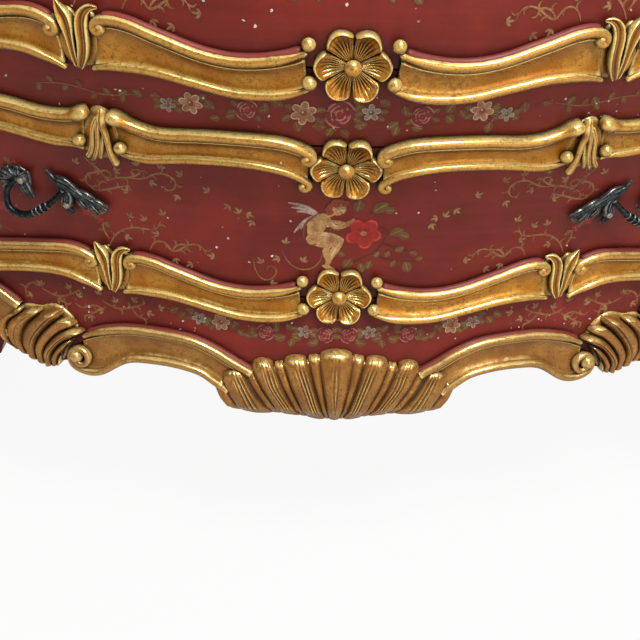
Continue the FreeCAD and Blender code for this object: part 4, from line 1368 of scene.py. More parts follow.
@dataclass
class Pull:
    """A cast pull of leafy scrolls, in the flat of its own spot on the drawer."""

    x: float = 280.0
    above: float = 90.0
    seat: float = 1.0
    collars: Sequence = ((0.64, 5.0), (0.69, 5.8), (0.74, 6.0), (0.79, 5.0))
    screws: Sequence = ((18.0, 12.0), (-25.0, -7.0))
    screw_size: tuple[float, float, float] = (3.2, 3.2, 1.0)
    screw_rise: float = 9.0
    slot_turn: float = 40.0
    boss_size: tuple[float, float, float] = (5.4, 5.4, 4.6)
    boss_rise: float = 4.4
    leaf_plate: Sequence = ((-40, 4), (-30, -4), (-22, -12), (-15, 2), (-14, 14), (-26, 16))
    shell_plate: Sequence = ((12, 4), (22, 2), (36, 2), (41, 12), (34, 22), (20, 23), (12, 16))

    def build(self, shop: Workshop, name: str, body: Body, z: float) -> None:
        """Make a drawer's two pulls and their screws.

        Args:
            shop: Trees and finishes.
            name: The drawer.
            body: The drawer's body.
            z: Lower edge of the drawer's front.
        """
        spot = shop.front.flat_spot(self.x, z + self.above, self.seat)
        for sides, word in HALVES:
            node = f"{name}_drawer_pull_{word}"
            cast = Piece(node + "_cast", body, Slot.BRONZE, shop.bronze, (node,))
            cast.add(self.parts(shop, spot), sides).finish()
        node = f"{name}_drawer_pull_screws"
        heads = Spots()
        for place in self.screws:
            heads.put(spot, place, self.screw_rise, self.slot_turn, self.screw_size)
        screws = shop.scatter(heads, self.screw_head(), shop.brass)
        Piece(node + "_heads", body, Slot.BRASS, shop.brass, (node,)).add([screws], Sides.BOTH).finish()

    def parts(self, shop: Workshop, spot: Face) -> list[Mesh]:
        """Leaf, shell, bail, collars and bosses of one pull."""
        made = [Strands(spot, PULL_LEAF, 3.6, FLUTED, 2.6).build(shop, shop.bronze),
                Strands(spot, PULL_SHELL, 3.4, FLUTED, 2.2).build(shop, shop.bronze)]
        line = flow(PULL_BAIL, 1.6)
        route = Route(spot, line[:, :2], line[:, 2], line[:, 3])
        made.append(shop.sweep([route], ring(16), shop.bronze))
        beads, bosses = Spots(), Spots()
        for share, size in self.collars:
            at = line[int(share * (len(line) - 1))]
            beads.put(spot, (at[0], at[1]), at[2], 142.0, (1.5, size * 0.82, size * 0.82))
        for place in self.screws:
            bosses.put(spot, place, self.boss_rise, 0.0, self.boss_size)
        made += [shop.scatter(spots, ball_shape(), shop.bronze) for spots in (beads, bosses)]
        return made + [pad(spot, self.leaf_plate, 3.4), pad(spot, self.shell_plate, 3.2)]

    @staticmethod
    def screw_head() -> Mesh:
        """A round head with a slot, of radius 1 and in units."""
        turns = np.linspace(0.0, 2 * math.pi, 33)
        share, turn = np.meshgrid(np.linspace(0.02, 1.0, 9), turns, indexing="ij")
        x, y = share * np.cos(turn), share * np.sin(turn)
        height = 1.6 * arch(share * 0.94) + 0.2
        height -= np.where(np.abs(y) < 0.16, 0.75, 0.0)
        points = np.stack([x, y, np.maximum(height, 0.15)], axis=-1)
        floor = np.stack([x, y, np.full_like(x, -0.6)], axis=-1)
        return grid_mesh(points / MM, floor / MM)


@dataclass
class Drawer:
    """The carved trim and the pulls of one drawer."""

    name: str
    body: Body
    z: float
    height: float = 159.99
    top_rosette: float = -18.5
    low_rosette: float = 3.0
    clasp_rise: float = 8.0

    def node(self, word: str) -> str:
        """Name of one of the drawer's nodes."""
        return f"{self.name}_drawer_{word}"

    def build(self, shop: Workshop) -> None:
        """Make the drawer's carved mouldings, clasps, rosettes and pulls."""
        high = self.z + self.height
        square, curl, head, taper = Ending.SQUARE, Ending.CURL_IN, Ending.HEAD, Ending.TAPER
        top = {"level": high, "lower_radius": 3.5}
        self.mouldings(shop, "top_moulding", False, [
            Moulding(shop.front, *TOP_INNER, upper_ends=(curl, head), lower_ends=(Ending.CURL_OUT, taper),
                     balls=[(195.6, -10.4, 6.0)], **top),
            Moulding(shop.front, *TOP_OUTER, upper_ends=(head, square), lower_ends=(taper, square),
                     balls=[(232.4, -6.4, 6.0)], **top)])
        self.mouldings(shop, "low_moulding", True, [
            Moulding(shop.front, *LOW_INNER, level=self.z, upper_ends=(taper, curl),
                     lower_ends=(taper, taper), balls=[(35.0, 20.6, 5.7), (33.6, -10.4, 6.1)]),
            Moulding(shop.front, *LOW_OUTER, level=self.z, upper_ends=(curl, square),
                     lower_ends=(taper, square))])
        self.clasps(shop, high)
        Rosette(high + self.top_rosette, self.body, self.node("top_rosette")).build(shop)
        Rosette(self.z + self.low_rosette, self.body, self.node("low_rosette")).build(shop)
        Pull().build(shop, self.name, self.body, self.z)

    def mouldings(self, shop: Workshop, word: str, painted_flank: bool,
                  lengths: Sequence[Moulding]) -> None:
        """Make one moulding of the drawer.

        Args:
            shop: Trees and finishes.
            word: Which moulding.
            painted_flank: Whether the red paint climbs the upper bead.
            lengths: Its lengths on the right half.
        """
        parts = [part for length in lengths for part in length.build(shop)]
        Piece.carving(self.node(word), self.body, shop.gilt).add(parts, Sides.BOTH).finish()
        if painted_flank:
            flank = Piece(self.node(word) + "_flank", self.body, Slot.RED, shop.dusty)
            flank.add([length.flank(shop) for length in lengths], Sides.BOTH).finish()

    def clasps(self, shop: Workshop, high: float) -> None:
        """Make the leaf clasps that cover the breaks of the mouldings."""
        parts = []
        for ribs, level, outline, section in ((TOP_CLASP, high, TOP_CLASP_BACK, BLADE),
                                              (LOW_CLASP, self.z, LOW_CLASP_BACK, HOLLOW)):
            lifted = [raised(rib, level) for rib in ribs]
            strands = Strands(shop.front, lifted, self.clasp_rise, section, 2.5)
            parts += [strands.build(shop, shop.gilt), pad(shop.front, raised(outline, level), 4.0)]
        Piece.carving(self.node("clasps"), self.body, shop.gilt).add(parts, Sides.BOTH).finish()


SHELL_LOBES = [0.0, 0.5, 1.0, 1.5, 2.0, 2.5, 3.0, 3.6]
SHELL_TIP_X = [0.0, 23.5, 40.5, 57.0, 74.0, 88.0, 102.0, 121.0]
SHELL_TIP_Z = [78.0, 71.0, 70.5, 62.0, 65.0, 55.0, 52.5, 33.0]
SHELL_BASE_X = [0.0, 7.0, 16.0, 32.0, 44.0, 57.0, 79.0, 105.0]
SHELL_BASE_Z = [0.0, 0.3, 0.8, 3.0, 5.0, 5.2, 4.0, 6.0]
APRON_INNER = (
    [(84, 49), (96, 55.6), (106, 61.1), (116, 67.1), (126, 71.9), (137, 76.2), (151, 79.4), (167, 80.8),
     (187, 81.4), (208, 80.5), (224, 77.7), (240, 73.2), (255, 66.5)],
    [(108, 27), (115, 32), (123, 37.3), (132, 43.2), (147, 47.9), (168, 50.5), (189, 50.5), (200, 49.8),
     (211, 47.3), (221, 42), (229, 36.4), (238, 30.4), (247, 27.2), (256, 26.9), (265, 29.5)],
)
APRON_OUTER = (
    [(324, 90), (334.4, 97.5), (344, 104), (358, 109.5), (376, 112), (396, 111.5), (420, 102), (436, 90),
     (444.7, 79)],
    [(338, 55), (344, 60), (350, 65.5), (360, 74.5), (376, 81), (396, 81.5), (420, 73), (436, 61),
     (444.7, 50)],
)
LEAF_RIBS = [
    [(308, 90, 4), (315, 83, 5.2), (325, 75, 5.8), (333, 62, 5.8), (331.5, 49, 5.4), (325.5, 38, 4.6)],
    [(279.5, 92, 7.4), (287, 87, 9.4), (297, 77.5, 8.8), (309, 63, 7.2), (316, 47, 6), (315, 32.5, 5)],
    [(266, 80.5, 3.4), (275, 77, 3.6), (284, 71, 3.6), (296.5, 58.5, 3.8), (305, 44, 3.8),
     (306.5, 28.5, 3.6)],
    [(256.5, 70.5, 4.8), (267, 68.5, 6), (278, 63, 6.8), (289, 52.5, 6.6), (297.5, 39, 5.8),
     (298.5, 26, 5)],
    [(271, 57, 3.4), (282, 47, 4.2), (288.5, 36.5, 4.2), (291, 27.5, 3.8)],
]
LEAF_BACK = [
    (344, 54), (335, 46), (325, 36), (310, 25.5), (299, 24.5), (291, 27), (284, 33), (276, 46), (270, 58),
    (264, 70), (268, 82), (276, 90), (288, 95), (304, 91), (318, 91), (330, 84), (342, 66),
]


@dataclass
class Apron:
    """The carved lower edge of the front."""

    form: CaseForm
    shell_rise: float = 19.5
    lobe_half: float = 0.36
    leaf_samples: int = 61

    def build(self, shop: Workshop) -> None:
        """Make the shell, the mouldings and the leaves."""
        gilt, low = shop.dull_gilt, self.form.apron_low
        Piece.carving("apron_shell", Body.CASE, gilt).add([self.shell(shop.front)]).finish()
        square = (Ending.SQUARE, Ending.SQUARE)
        lengths = [Moulding(shop.front, *APRON_INNER, level=low, upper_ends=(Ending.SQUARE, Ending.TAPER),
                            lower_ends=(Ending.SQUARE, Ending.VOLUTE), balls=[(265.5, 43.0, 7.5)]),
                   Moulding(shop.front, *APRON_OUTER, level=low, upper_ends=square, lower_ends=square)]
        flanks = [length.flank(shop) for length in lengths]
        Piece("apron_moulding_flank", Body.CASE, Slot.RED, shop.dusty).add(flanks, Sides.BOTH).finish()
        for sides, word in HALVES:
            edging = [part for length in lengths for part in length.build(shop)]
            Piece.carving(f"apron_moulding_{word}", Body.CASE, gilt).add(edging, sides).finish()
            leaf = [self.leaf(shop.front), pad(shop.front, raised(LEAF_BACK, low), 3.6)]
            Piece.carving(f"apron_leaf_{word}", Body.CASE, gilt).add(leaf, sides).finish()

    def leaf(self, face: Face) -> Mesh:
        """A curled leaf as one carved surface of rounded ribs with grooves between them."""
        count = self.leaf_samples
        ribs = [spread(flow(rib, 1.0), count) for rib in LEAF_RIBS]
        first, last = ribs[0] + 0.6 * (ribs[0] - ribs[1]), ribs[-1] + 0.6 * (ribs[-1] - ribs[-2])
        ribs = np.array([first, *ribs, last])
        across = np.linspace(0.0, len(ribs) - 1.0, 169)
        place, t = np.meshgrid(across, np.linspace(0.0, 1.0, count), indexing="ij")
        off = 2 * (place - np.round(place))
        notch = 0.13 * np.abs(off) ** 3
        along = (notch + (1 - notch) * t) * (count - 1)
        i = np.minimum(place.astype(int), len(ribs) - 2)
        j = np.minimum(along.astype(int), count - 2)
        f, g = (place - i)[..., None], (along - j)[..., None]
        spot = ((ribs[i, j] * (1 - g) + ribs[i, j + 1] * g) * (1 - f)
                + (ribs[i + 1, j] * (1 - g) + ribs[i + 1, j + 1] * g) * f)
        tip = arch(np.clip(1 - t / 0.12, 0.0, 1.0)) * (1 - 0.35 * ease((t - 0.75) / 0.25))
        vein = bump(off, 0.3, 0.12) * ease(t / 0.3) * ease((spot[..., 2] - 4.6) / 1.4)
        ridge = 0.24 + 0.76 * arch(off) - 0.09 * vein
        height = 2.4 + (6.0 + 1.15 * spot[..., 2]) * ridge * tip
        return carved(face, spot[..., :2] + [0.0, self.form.apron_low], height)

    def shell(self, face: Face) -> Mesh:
        """The shell as one carved surface of wide grooved lobes with narrow ribs between them."""
        edge = SHELL_LOBES[-1]
        lobe, t = np.meshgrid(np.linspace(-edge, edge, 365), np.linspace(0.0, 1.0, 50))
        place = np.abs(lobe)
        nearest = np.round(place)
        wide = np.abs(place - nearest) < self.lobe_half
        crest = np.where(wide, nearest + 0.3 * (place - nearest), place)
        inward = np.where(wide, (place - nearest) / self.lobe_half,
                          (place - np.floor(place) - 0.5) / (0.5 - self.lobe_half))
        round_top = arch(inward)
        tip_x = np.interp(place, SHELL_LOBES, SHELL_TIP_X) * np.sign(lobe)
        tip_z = np.interp(crest, SHELL_LOBES, SHELL_TIP_Z)
        tip_z -= np.where(wide, 8.0, 4.0) * (1 - (1 - np.abs(inward) ** 3) ** 0.4)
        base_x = np.interp(place, SHELL_LOBES, SHELL_BASE_X) * np.sign(lobe)
        base_z = np.interp(place, SHELL_LOBES, SHELL_BASE_Z)
        bent = t + 0.06 * np.sin(np.pi * t)
        x = base_x + (tip_x - base_x) * bent
        z = self.form.apron_low + base_z + (tip_z - base_z) * t
        swell = 0.3 + 0.45 * ease(t / 0.2) + 0.25 * ease(t / 0.8)
        swell *= arch(np.clip((t - 0.86) / 0.14, 0.0, 1.0)) ** 0.6
        swell *= 1 - 0.26 * ease((t - 0.5) / 0.4)
        rib = np.where(wide, 0.52 + 0.48 * round_top ** 0.8, 0.44 + 0.26 * round_top)
        lines = np.zeros_like(t)
        for middle, depth in ((-0.52, 0.9), (-0.2, 1.0), (0.12, 0.7)):
            lines += depth * bump(inward + 0.05 * np.sin(9 * t + 3 * nearest), middle, 0.1) * wide
        height = self.shell_rise * swell * rib * (1 - 0.05 * place) + 0.8
        height -= 1.8 * lines * ease((t - 0.06) / 0.1) * (1 - 0.7 * ease((t - 0.72) / 0.2))
        return carved(face, np.stack([x, z], axis=-1), np.maximum(height, 0.7))


KNEE_RIBS = [
    [(50, 166, 2.4), (50, 200, 4.6), (50, 245, 5.6), (50, 290, 5.4), (50, 326, 3)],
    [(47, 186, 2.2), (42, 208, 3.6), (33, 228, 4.2), (25, 234, 3)],
    [(47, 222, 2.4), (40, 250, 4.2), (28, 272, 4.8), (20, 276, 3.4)],
    [(47, 262, 2.4), (41, 286, 4), (31, 306, 4.6), (23, 308, 3.2)],
    [(48, 292, 2.2), (44, 312, 3.6), (37, 327, 3.2)],
]
KNEE_BACK = [
    (50, 162), (40, 196), (27, 236), (22, 276), (26, 308), (42, 330), (50, 332), (58, 330), (74, 308),
    (78, 276), (73, 236), (60, 196),
]
DROP_RIBS = [
    [(50, 694, 3), (50, 725, 5.4), (50, 758, 4.4)], [(48, 696, 2.4), (42, 728, 4.6), (37, 756, 3.8)],
    [(46, 698, 2), (35, 728, 4.2), (26, 750, 3.2)], [(44, 698, 1.8), (31, 716, 3.4), (22, 730, 2.6)],
]
DROP_BACK = [
    (50, 582), (46, 620), (43, 680), (30, 716), (26, 748), (38, 762), (50, 764), (62, 762), (74, 748),
    (70, 716), (57, 680), (54, 620),
]
HUSKS = [(678, 1.0), (646, 0.85), (618, 0.72), (594, 0.58)]


@dataclass
class Corners:
    """Carvings on the knees and down the front posts."""

    rise: float = 4.5

    @staticmethod
    def doubled(ribs: Sequence) -> list:
        """Ribs and their mirror images about the nose of the post."""
        return list(ribs) + [[(100 - p, z, half) for p, z, half in rib] for rib in ribs if rib[0][0] != 50]

    def build(self, shop: Workshop) -> None:
        """Make the carvings of both posts."""
        husks = []
        for z, size in HUSKS:
            husks.append([(50, z + 13 * size, 2.2 * size), (50, z, 4.4 * size),
                          (50, z - 15 * size, 1.4 * size)])
            husks.append([(49, z + 12 * size, 1.8 * size), (44, z + 1, 3.6 * size),
                          (41, z - 11 * size, 1.4 * size)])
        for stem, ribs, outline in (("knee_carving", KNEE_RIBS, KNEE_BACK),
                                    ("post_drop", DROP_RIBS + husks, DROP_BACK)):
            for sides, word in HALVES:
                strands = Strands(shop.post, self.doubled(ribs), self.rise, FLUTED, 2.0)
                parts = [strands.build(shop, shop.gilt), pad(shop.post, outline, 3.4)]
                Piece.carving(f"{stem}_{word}", Body.CASE, shop.gilt).add(parts, sides).finish()


@dataclass
class Flanks:
    """The mouldings on the two sides of the case."""

    form: CaseForm
    inset: float = 8.0
    arch_rise: float = 34.0
    arch_inset: float = 34.0
    arch_low: float = 236.03

    def arch_height(self, y: float) -> float:
        """The side panel's lower edge."""
        middle = (self.form.post_y + self.form.rear_post_y) / 2
        half = (self.form.rear_post_y - self.form.post_y) / 2 - self.arch_inset
        radius = (half * half + self.arch_rise ** 2) / (2 * self.arch_rise)
        off = min(abs(y - middle), half)
        return self.arch_low + self.arch_rise - radius + math.sqrt(radius * radius - off * off)

    def build(self, shop: Workshop) -> None:
        """Make the three mouldings of each side."""
        start, end = self.form.post_y + self.inset, self.form.rear_post_y - self.inset
        waves = []
        for z, dip in ((739.0, -10), (346.03, 10)):
            waves.append([(0, z - dip, 30), (0.25, z + dip, 28), (0.5, z, 34), (0.75, z + dip, 28),
                          (1, z - dip, 30)])
        waves.append([(s, self.arch_height(start + (end - start) * s) + 19, 34)
                      for s in np.linspace(0.0, 1.0, 9)])
        ends = (Ending.HEAD, Ending.HEAD)
        lengths = []
        for wave in waves:
            upper, lower = ([(start + 5 + (end - start - 10) * s, z + side * width / 2 - inward)
                             for s, z, width in wave] for side, inward in ((1, 4.8), (-1, -4.1)))
            lengths.append(Moulding(shop.side, upper, lower, 0.0, ends, ends))
        for sides, word in HALVES:
            parts = [part for length in lengths for part in length.build(shop)]
            Piece.carving(f"side_mouldings_{word}", Body.CASE, shop.gilt).add(parts, sides).finish()


class Tint(Enum):
    """Colours on the painter's palette."""

    SCROLL = srgb(152, 104, 62)
    OLIVE = srgb(108, 84, 44)
    SAGE = srgb(146, 120, 72)
    TAN = srgb(178, 130, 92)
    CREAM = srgb(218, 192, 158)
    CHALK = srgb(248, 238, 226)
    PEARL = srgb(186, 178, 158)
    SMOKE = srgb(142, 132, 114)
    SLATE = srgb(86, 74, 64)
    ROSE = srgb(122, 42, 42)
    BLUSH = srgb(190, 122, 106)
    SCARLET = srgb(178, 38, 32)
    CORAL = srgb(208, 84, 68)
    SKIN = srgb(204, 158, 98)
    GLOW = srgb(228, 194, 138)
    SHADE = srgb(132, 80, 46)
    WING = srgb(188, 166, 158)
    HAIR = srgb(154, 72, 40)
    STEM = srgb(58, 42, 26)


TAN_FLOWER = (Tint.TAN, Tint.CREAM, Tint.SHADE, 6)
GREY_FLOWER = (Tint.SMOKE, Tint.PEARL, Tint.SLATE, 5)
RED_FLOWER = (Tint.SCARLET, Tint.CORAL, Tint.SHADE, 5)
ROSE_PETALS = [(0.62, 0.44, 6, 10, Tint.ROSE, 0.84), (0.6, 0.26, 6, 40, Tint.BLUSH, 0.34),
               (0.34, 0.34, 4, 20, Tint.ROSE, 0.84), (0.36, 0.18, 4, 65, Tint.BLUSH, 0.34)]
ROSE_ARCS = [
    (0.95, 20, 60), (0.95, 195, 80), (0.8, 110, 60), (0.68, 280, 80), (0.55, 95, 110), (0.42, 230, 120),
    (0.26, 30, 190),
]


def dab_shape(pointed: bool) -> Mesh:
    """A thin dab of paint, round or drawn out to two points, of radius 1 and in units."""
    count = 12
    made = bmesh.new()
    rim = []
    for i in range(count):
        turn = 2 * math.pi * i / count
        across = math.sin(turn) * (abs(math.sin(turn)) ** 0.7 if pointed else 1.0)
        rim.append(made.verts.new((math.cos(turn), across, 0.0)))
    crown, back = made.verts.new((0.0, 0.0, 1.0)), made.verts.new((0.0, 0.0, -0.4))
    for i in range(count):
        made.faces.new((rim[i], rim[(i + 1) % count], crown))
        made.faces.new((rim[(i + 1) % count], rim[i], back))
    mesh = bpy.data.meshes.new("dab")
    made.to_mesh(mesh)
    made.free()
    return mesh


@dataclass
class Brush:
    """Strokes and dabs of paint on a face, layer over layer."""

    face: Face
    strokes: list = field(default_factory=list)
    rounds: Spots = field(default_factory=Spots)
    leaves: Spots = field(default_factory=Spots)
    origin: Place = (0.0, 0.0)
    sign: int = 1
    scale: float = 1.0
    ground: float = 0.32
    layer: float = 0.05
    film: float = 0.1

    def move(self, origin: Place, sign: int = 1, scale: float = 1.0) -> "Brush":
        """Paint from here on about another origin, mirrored if the sign is -1."""
        self.origin, self.sign, self.scale = origin, sign, scale
        return self

    def spot(self, point: Place) -> Place:
        """The place on the face of a point about the origin."""
        x, z = self.origin
        return (x + self.sign * self.scale * point[0], z + self.scale * point[1])

    def line(self, tint: Tint, width: float, points: Sequence, level: int = 0) -> None:
        """Draw a stroke that swells and thins.

        Args:
            tint: Its colour.
            width: Its full width.
            points: Its way, about the origin.
            level: The layer of paint.
        """
        line = flow([self.spot(point) for point in points], 1.6)
        share = np.linspace(0.04, 0.96, len(line))
        size = width * self.scale * np.sin(np.pi * share) ** 0.55 * (1.2 - 0.4 * share)
        rise = np.full(len(line), self.ground + self.layer * level)
        self.strokes.append(Route(self.face, line, rise, size, tint.value))

    def dab(self, tint: Tint, point: Place, size: Place, turn: float = 0.0,
            level: int = 0, pointed: bool = False) -> None:
        """Set down one dab.

        Args:
            tint: Its colour.
            point: Its middle, about the origin.
            size: Half its length and half its width.
            turn: Its turn in degrees.
            level: The layer of paint.
            pointed: Whether it is leaf-shaped.
        """
        spots = self.leaves if pointed else self.rounds
        spots.put(self.face, self.spot(point), self.ground + self.layer * level,
                  turn if self.sign > 0 else 180 - turn,
                  (size[0] * self.scale, size[1] * self.scale, self.film), tint.value)

    def leaf(self, point: Place, length: float, turn: float, level: int = 0) -> None:
        """A leaf with a lighter rib."""
        self.dab(Tint.OLIVE, point, (length * 0.52, length * 0.38), turn, level, True)
        self.dab(Tint.SAGE, point, (length * 0.42, length * 0.07), turn, level + 1, True)

    def tuft(self, point: Place, length: float, turn: float) -> None:
        """Three small leaves that spread from one point."""
        for off, reach in ((-46.0, 0.36), (46.0, 0.36), (0.0, 0.5)):
            place = stepped(point, turn + off, reach * length)
            self.dab(Tint.SAGE, place, (length * reach, length * 0.17), turn + off, 0, True)
            self.dab(Tint.TAN, place, (length * reach * 0.7, length * 0.08), turn + off, 1, True)

    def spray(self, points: Sequence, count: int, length: float, tint: Tint = Tint.SCROLL) -> None:
        """A stem with leaves on both sides.

        Args:
            points: Way of the stem.
            count: Leaves on it.
            length: Length of a leaf.
            tint: Colour of the stem.
        """
        self.line(tint, 1.3, points)
        for place, turn in self.beside(points, count, length * 0.55, 52.0):
            self.leaf(place, length, turn, 1)

    def tendrils(self, points: Sequence, length: float) -> None:
        """Small curled strokes on both sides of a way."""
        count = len(flow(points, 1.3 * length)) - 1
        for i, (place, turn) in enumerate(self.beside(points, count, 0.0, 30.0)):
            middle = stepped(place, turn, 0.55 * length)
            tip = stepped(middle, turn + (64.0 if i % 2 else -64.0), 0.45 * length)
            self.line(Tint.SCROLL, 1.9, [place, middle, tip], 1)

    @staticmethod
    def beside(points: Sequence, count: int, reach: float, slant: float) -> list:
        """Places on both sides of a way by turns.

        Args:
            points: The way.
            count: How many places.
            reach: Distance of a place from the way.
            slant: Angle between the way and the direction to a place, in degrees.

        Returns:
            Each place with its direction in degrees.
        """
        line = flow(points, 1.0)
        ways = headings(line)
        found = []
        for i in range(count):
            at = int((i + 1) / (count + 0.6) * (len(line) - 1))
            turn = math.degrees(math.atan2(ways[at][1], ways[at][0])) + (slant if i % 2 else -slant)
            found.append((stepped(line[at], turn, reach), turn))
        return found

    def blossom(self, point: Place, radius: float, kind: tuple[Tint, Tint, Tint, int],
                turn: float = 0.0) -> None:
        """A flat flower.

        Args:
            point: Its middle.
            radius: Its radius.
            kind: Colours of its petals, of their lit tips and of its middle, and the number of petals.
            turn: Turn of the first petal in degrees.
        """
        petal, light, heart, count = kind
        for i in range(count):
            angle = turn + 360.0 * i / count
            self.dab(light, stepped(point, angle, 0.6 * radius), (0.44 * radius, 0.33 * radius), angle, 2)
            self.dab(petal, stepped(point, angle, 0.54 * radius), (0.4 * radius, 0.25 * radius), angle, 3)
        self.dab(heart, point, (0.27 * radius, 0.27 * radius), 0.0, 4)
        gleam = (point[0] - 0.06 * radius, point[1] + 0.08 * radius)
        self.dab(Tint.CREAM, gleam, (0.1 * radius, 0.1 * radius), 0.0, 5)

    def rose(self, point: Place, radius: float) -> None:
        """A full rose of curled petals."""
        for reach, size, count, turn, tint, flat in ROSE_PETALS:
            for i in range(count):
                angle = turn + 360.0 * i / count
                petal = (size * radius, size * radius * flat)
                self.dab(tint, stepped(point, angle, reach * radius), petal, angle + 78, 2)
        for reach, start, sweep in ROSE_ARCS:
            arc = [stepped(point, turn, reach * radius) for turn in np.linspace(start, start + sweep, 6)]
            self.line(Tint.BLUSH, 0.13 * radius, arc, 4)
        self.dab(Tint.SCARLET, point, (0.2 * radius, 0.18 * radius), 0.0, 5)

    def chips(self, low: Place, high: Place, count: int, seed: int) -> None:
        """Small pale losses in the paint.

        Args:
            low: Lowest place.
            high: Highest place.
            count: How many.
            seed: Seed of the draw.
        """
        draw = np.random.default_rng(seed)
        for _ in range(count):
            place = draw.uniform(low, high)
            size = draw.uniform(0.5, 1.5)
            tint = Tint.CHALK if draw.uniform() < 0.6 else Tint.BLUSH
            self.dab(tint, tuple(place), (size, size * draw.uniform(0.4, 0.9)), draw.uniform(0, 180), 1)

    def meshes(self, shop: Workshop) -> list[Mesh]:
        """The paint as meshes.

        Args:
            shop: Trees and finishes.

        Returns:
            The strokes, the round dabs and the leaf-shaped dabs.
        """
        made = [shop.sweep(self.strokes, BRUSH, shop.paint)]
        for spots, pointed in ((self.rounds, False), (self.leaves, True)):
            if spots.rows:
                made.append(shop.scatter(spots, dab_shape(pointed), shop.paint))
        return made


SCROLLS = [
    [(236, 132), (230, 126), (222, 118), (217, 109)],
    [(217, 109), (212, 116), (215, 119), (223, 117), (234, 113), (237, 104), (229, 100), (224, 106),
     (227, 108)],
    [(217, 108), (204, 113), (193, 115), (184, 123), (188, 124), (193, 120)],
    [(193, 114), (181, 115), (170, 121), (158, 121), (152, 115), (154, 107), (162, 104)],
    [(236, 103), (232, 98), (217, 99), (195, 106)],
    [(222, 37), (216, 48), (200, 59), (188, 60), (175, 61), (169, 71)], [(222, 44), (226, 52), (227, 62)],
    [(182, 37), (175, 47), (167, 47), (160, 39), (150, 43), (142, 48), (133, 48), (127, 39)],
    [(160, 39), (152, 47), (145, 46), (148, 41)],
]
SCROLL_LEAVES = [
    (197, 99, 20), (145, 122, 40), (245, 123, 120), (225, 128, 60), (208, 119, 150), (176, 112, 200),
    (186, 128, 80), (164, 127, 100), (150, 101, 300), (184, 69, 60), (199, 70, 110), (172, 55, 20),
    (141, 27, 330), (119, 37, 10), (206, 49, 200), (228, 70, 95), (158, 31, 250), (166, 77, 70),
    (121, 108, 30), (103, 95, 320), (88, 87, 200), (82, 80, 300), (94, 87, 60),
]
SIDE_BUDS = [(240, 72, 6), (229, 64, 4.5), (306, 112, 7), (326, 66, 6), (338, 96, 5)]
WING_FEATHERS = [
    [(-22, 91), (-36, 99), (-50, 102)], [(-22, 90), (-35, 96), (-47, 97)],
    [(-22, 89), (-33, 93), (-42, 93)], [(-22, 91), (-34, 83), (-44, 70)],
    [(-22, 91), (-31, 85), (-38, 74)], [(-22, 91), (-28, 86), (-32, 78)],
]
LIMBS = [
    (14, [(-15, 91), (-22, 82), (-26, 72), (-24, 61)]), (8, [(-13, 88), (-18, 79), (-21, 68)]),
    (9, [(-24, 58), (-12, 59), (-3, 56)]), (12, [(-31, 63), (-14, 66), (2, 63)]),
    (7, [(-11, 59), (-14, 50), (-11, 41), (-13, 34)]), (8, [(1, 65), (-4, 56), (-9, 47), (-13, 35)]),
    (4.4, [(-17, 35), (-11, 33), (-5, 30.5)]), (4.6, [(-10, 84), (-2, 82), (9, 79)]),
    (6, [(-14, 89), (-9, 79), (-2, 76)]), (5, [(-5, 76), (3, 80), (11, 87)]),
    (7, [(-15, 89), (-10, 93), (-5, 96)]),
]
LIMB_SHADES = [
    (2.4, [(-22, 92), (-34, 79), (-35, 64)]), (1.8, [(-28, 57), (-14, 60), (-4, 59)]),
    (1.6, [(-8, 57), (-11, 48), (-12, 39)]), (1.3, [(-10, 81), (-11, 73), (-14, 68)]),
    (1.2, [(-12, 80), (-6, 74), (2, 76)]), (1.4, [(-30, 70), (-24, 67), (-20, 68)]),
]
LIMB_LIGHTS = [
    (6, [(-18, 87), (-22, 79), (-22, 71)]), (4, [(-24, 66), (-12, 69), (-2, 66)]),
    (2.4, [(-1, 61), (-6, 52), (-9, 43)]), (1.8, [(-11, 84), (-6, 79), (3, 82)]),
]
CURLS = [(-11, 101), (-8, 104.5), (-3, 105), (2, 103), (-13, 97), (-12, 93), (-6, 101.5)]
FLOWER_HEART = (20, 71)
FLOWER_STEMS = [
    [(34, 78), (41, 74), (38, 60), (30, 49), (21, 45)], [(21, 45), (10, 38), (0, 35)],
    [(38, 60), (52, 55), (66, 50)], [(30, 49), (44, 42), (60, 40), (73, 39)],
    [(24, 92), (34, 97), (46, 98)], [(36, 72), (48, 71), (61, 67)],
]
FLOWER_LEAVES = [
    (14, 101, 80, 14), (34, 99, 35, 16), (43, 96, 5, 11), (51, 72, 25, 14), (58, 68, 335, 12),
    (7, 38, 235, 13), (20, 33, 285, 11), (27, 36, 250, 10), (34, 48, 60, 8), (55, 53, 25, 10),
    (69, 48, 335, 9), (64, 33, 290, 13), (75, 42, 15, 8), (50, 37, 240, 9), (44, 48, 70, 8),
    (0, 48, 150, 9),
]
GROUND_SCROLLS = [
    [(-82, 39), (-80, 26), (-71, 16), (-62, 21), (-62, 30), (-68, 31), (-69, 25)],
    [(-55, 50), (-50, 39), (-38, 30), (-26, 32), (-18, 43), (-17, 51)],
]
RAIL_TAN = [(-132, 541, 10), (-38, 538, 11), (112, 541, 10)]
RAIL_GREY = [(-152, 538, 7), (18, 540, 8), (134, 537, 7)]
RAIL_ROSES = [(-85, 538, 10), (-8, 538, 13), (61, 537, 10)]
RAIL_LEAVES = [
    (-162, 545), (-141, 542), (-116, 541), (-99, 532), (-70, 541), (-60, 546), (-53, 533), (-43, 525),
    (-25, 526), (-16, 521), (-3, 520), (10, 528), (6, 551), (29, 549), (37, 528), (46, 542), (58, 526),
    (84, 544), (95, 539), (123, 543), (120, 525), (-177, 546), (-190, 545), (149, 543), (169, 546),
    (190, 547), (213, 545), (-112, 529), (40, 523), (85, 534),
]
APRON_GREY = [(137, 313, 7), (32, 307, 7)]
APRON_TAN = [(115, 311, 9)]
APRON_ROSES = [(71, 304, 9), (12, 304, 9)]
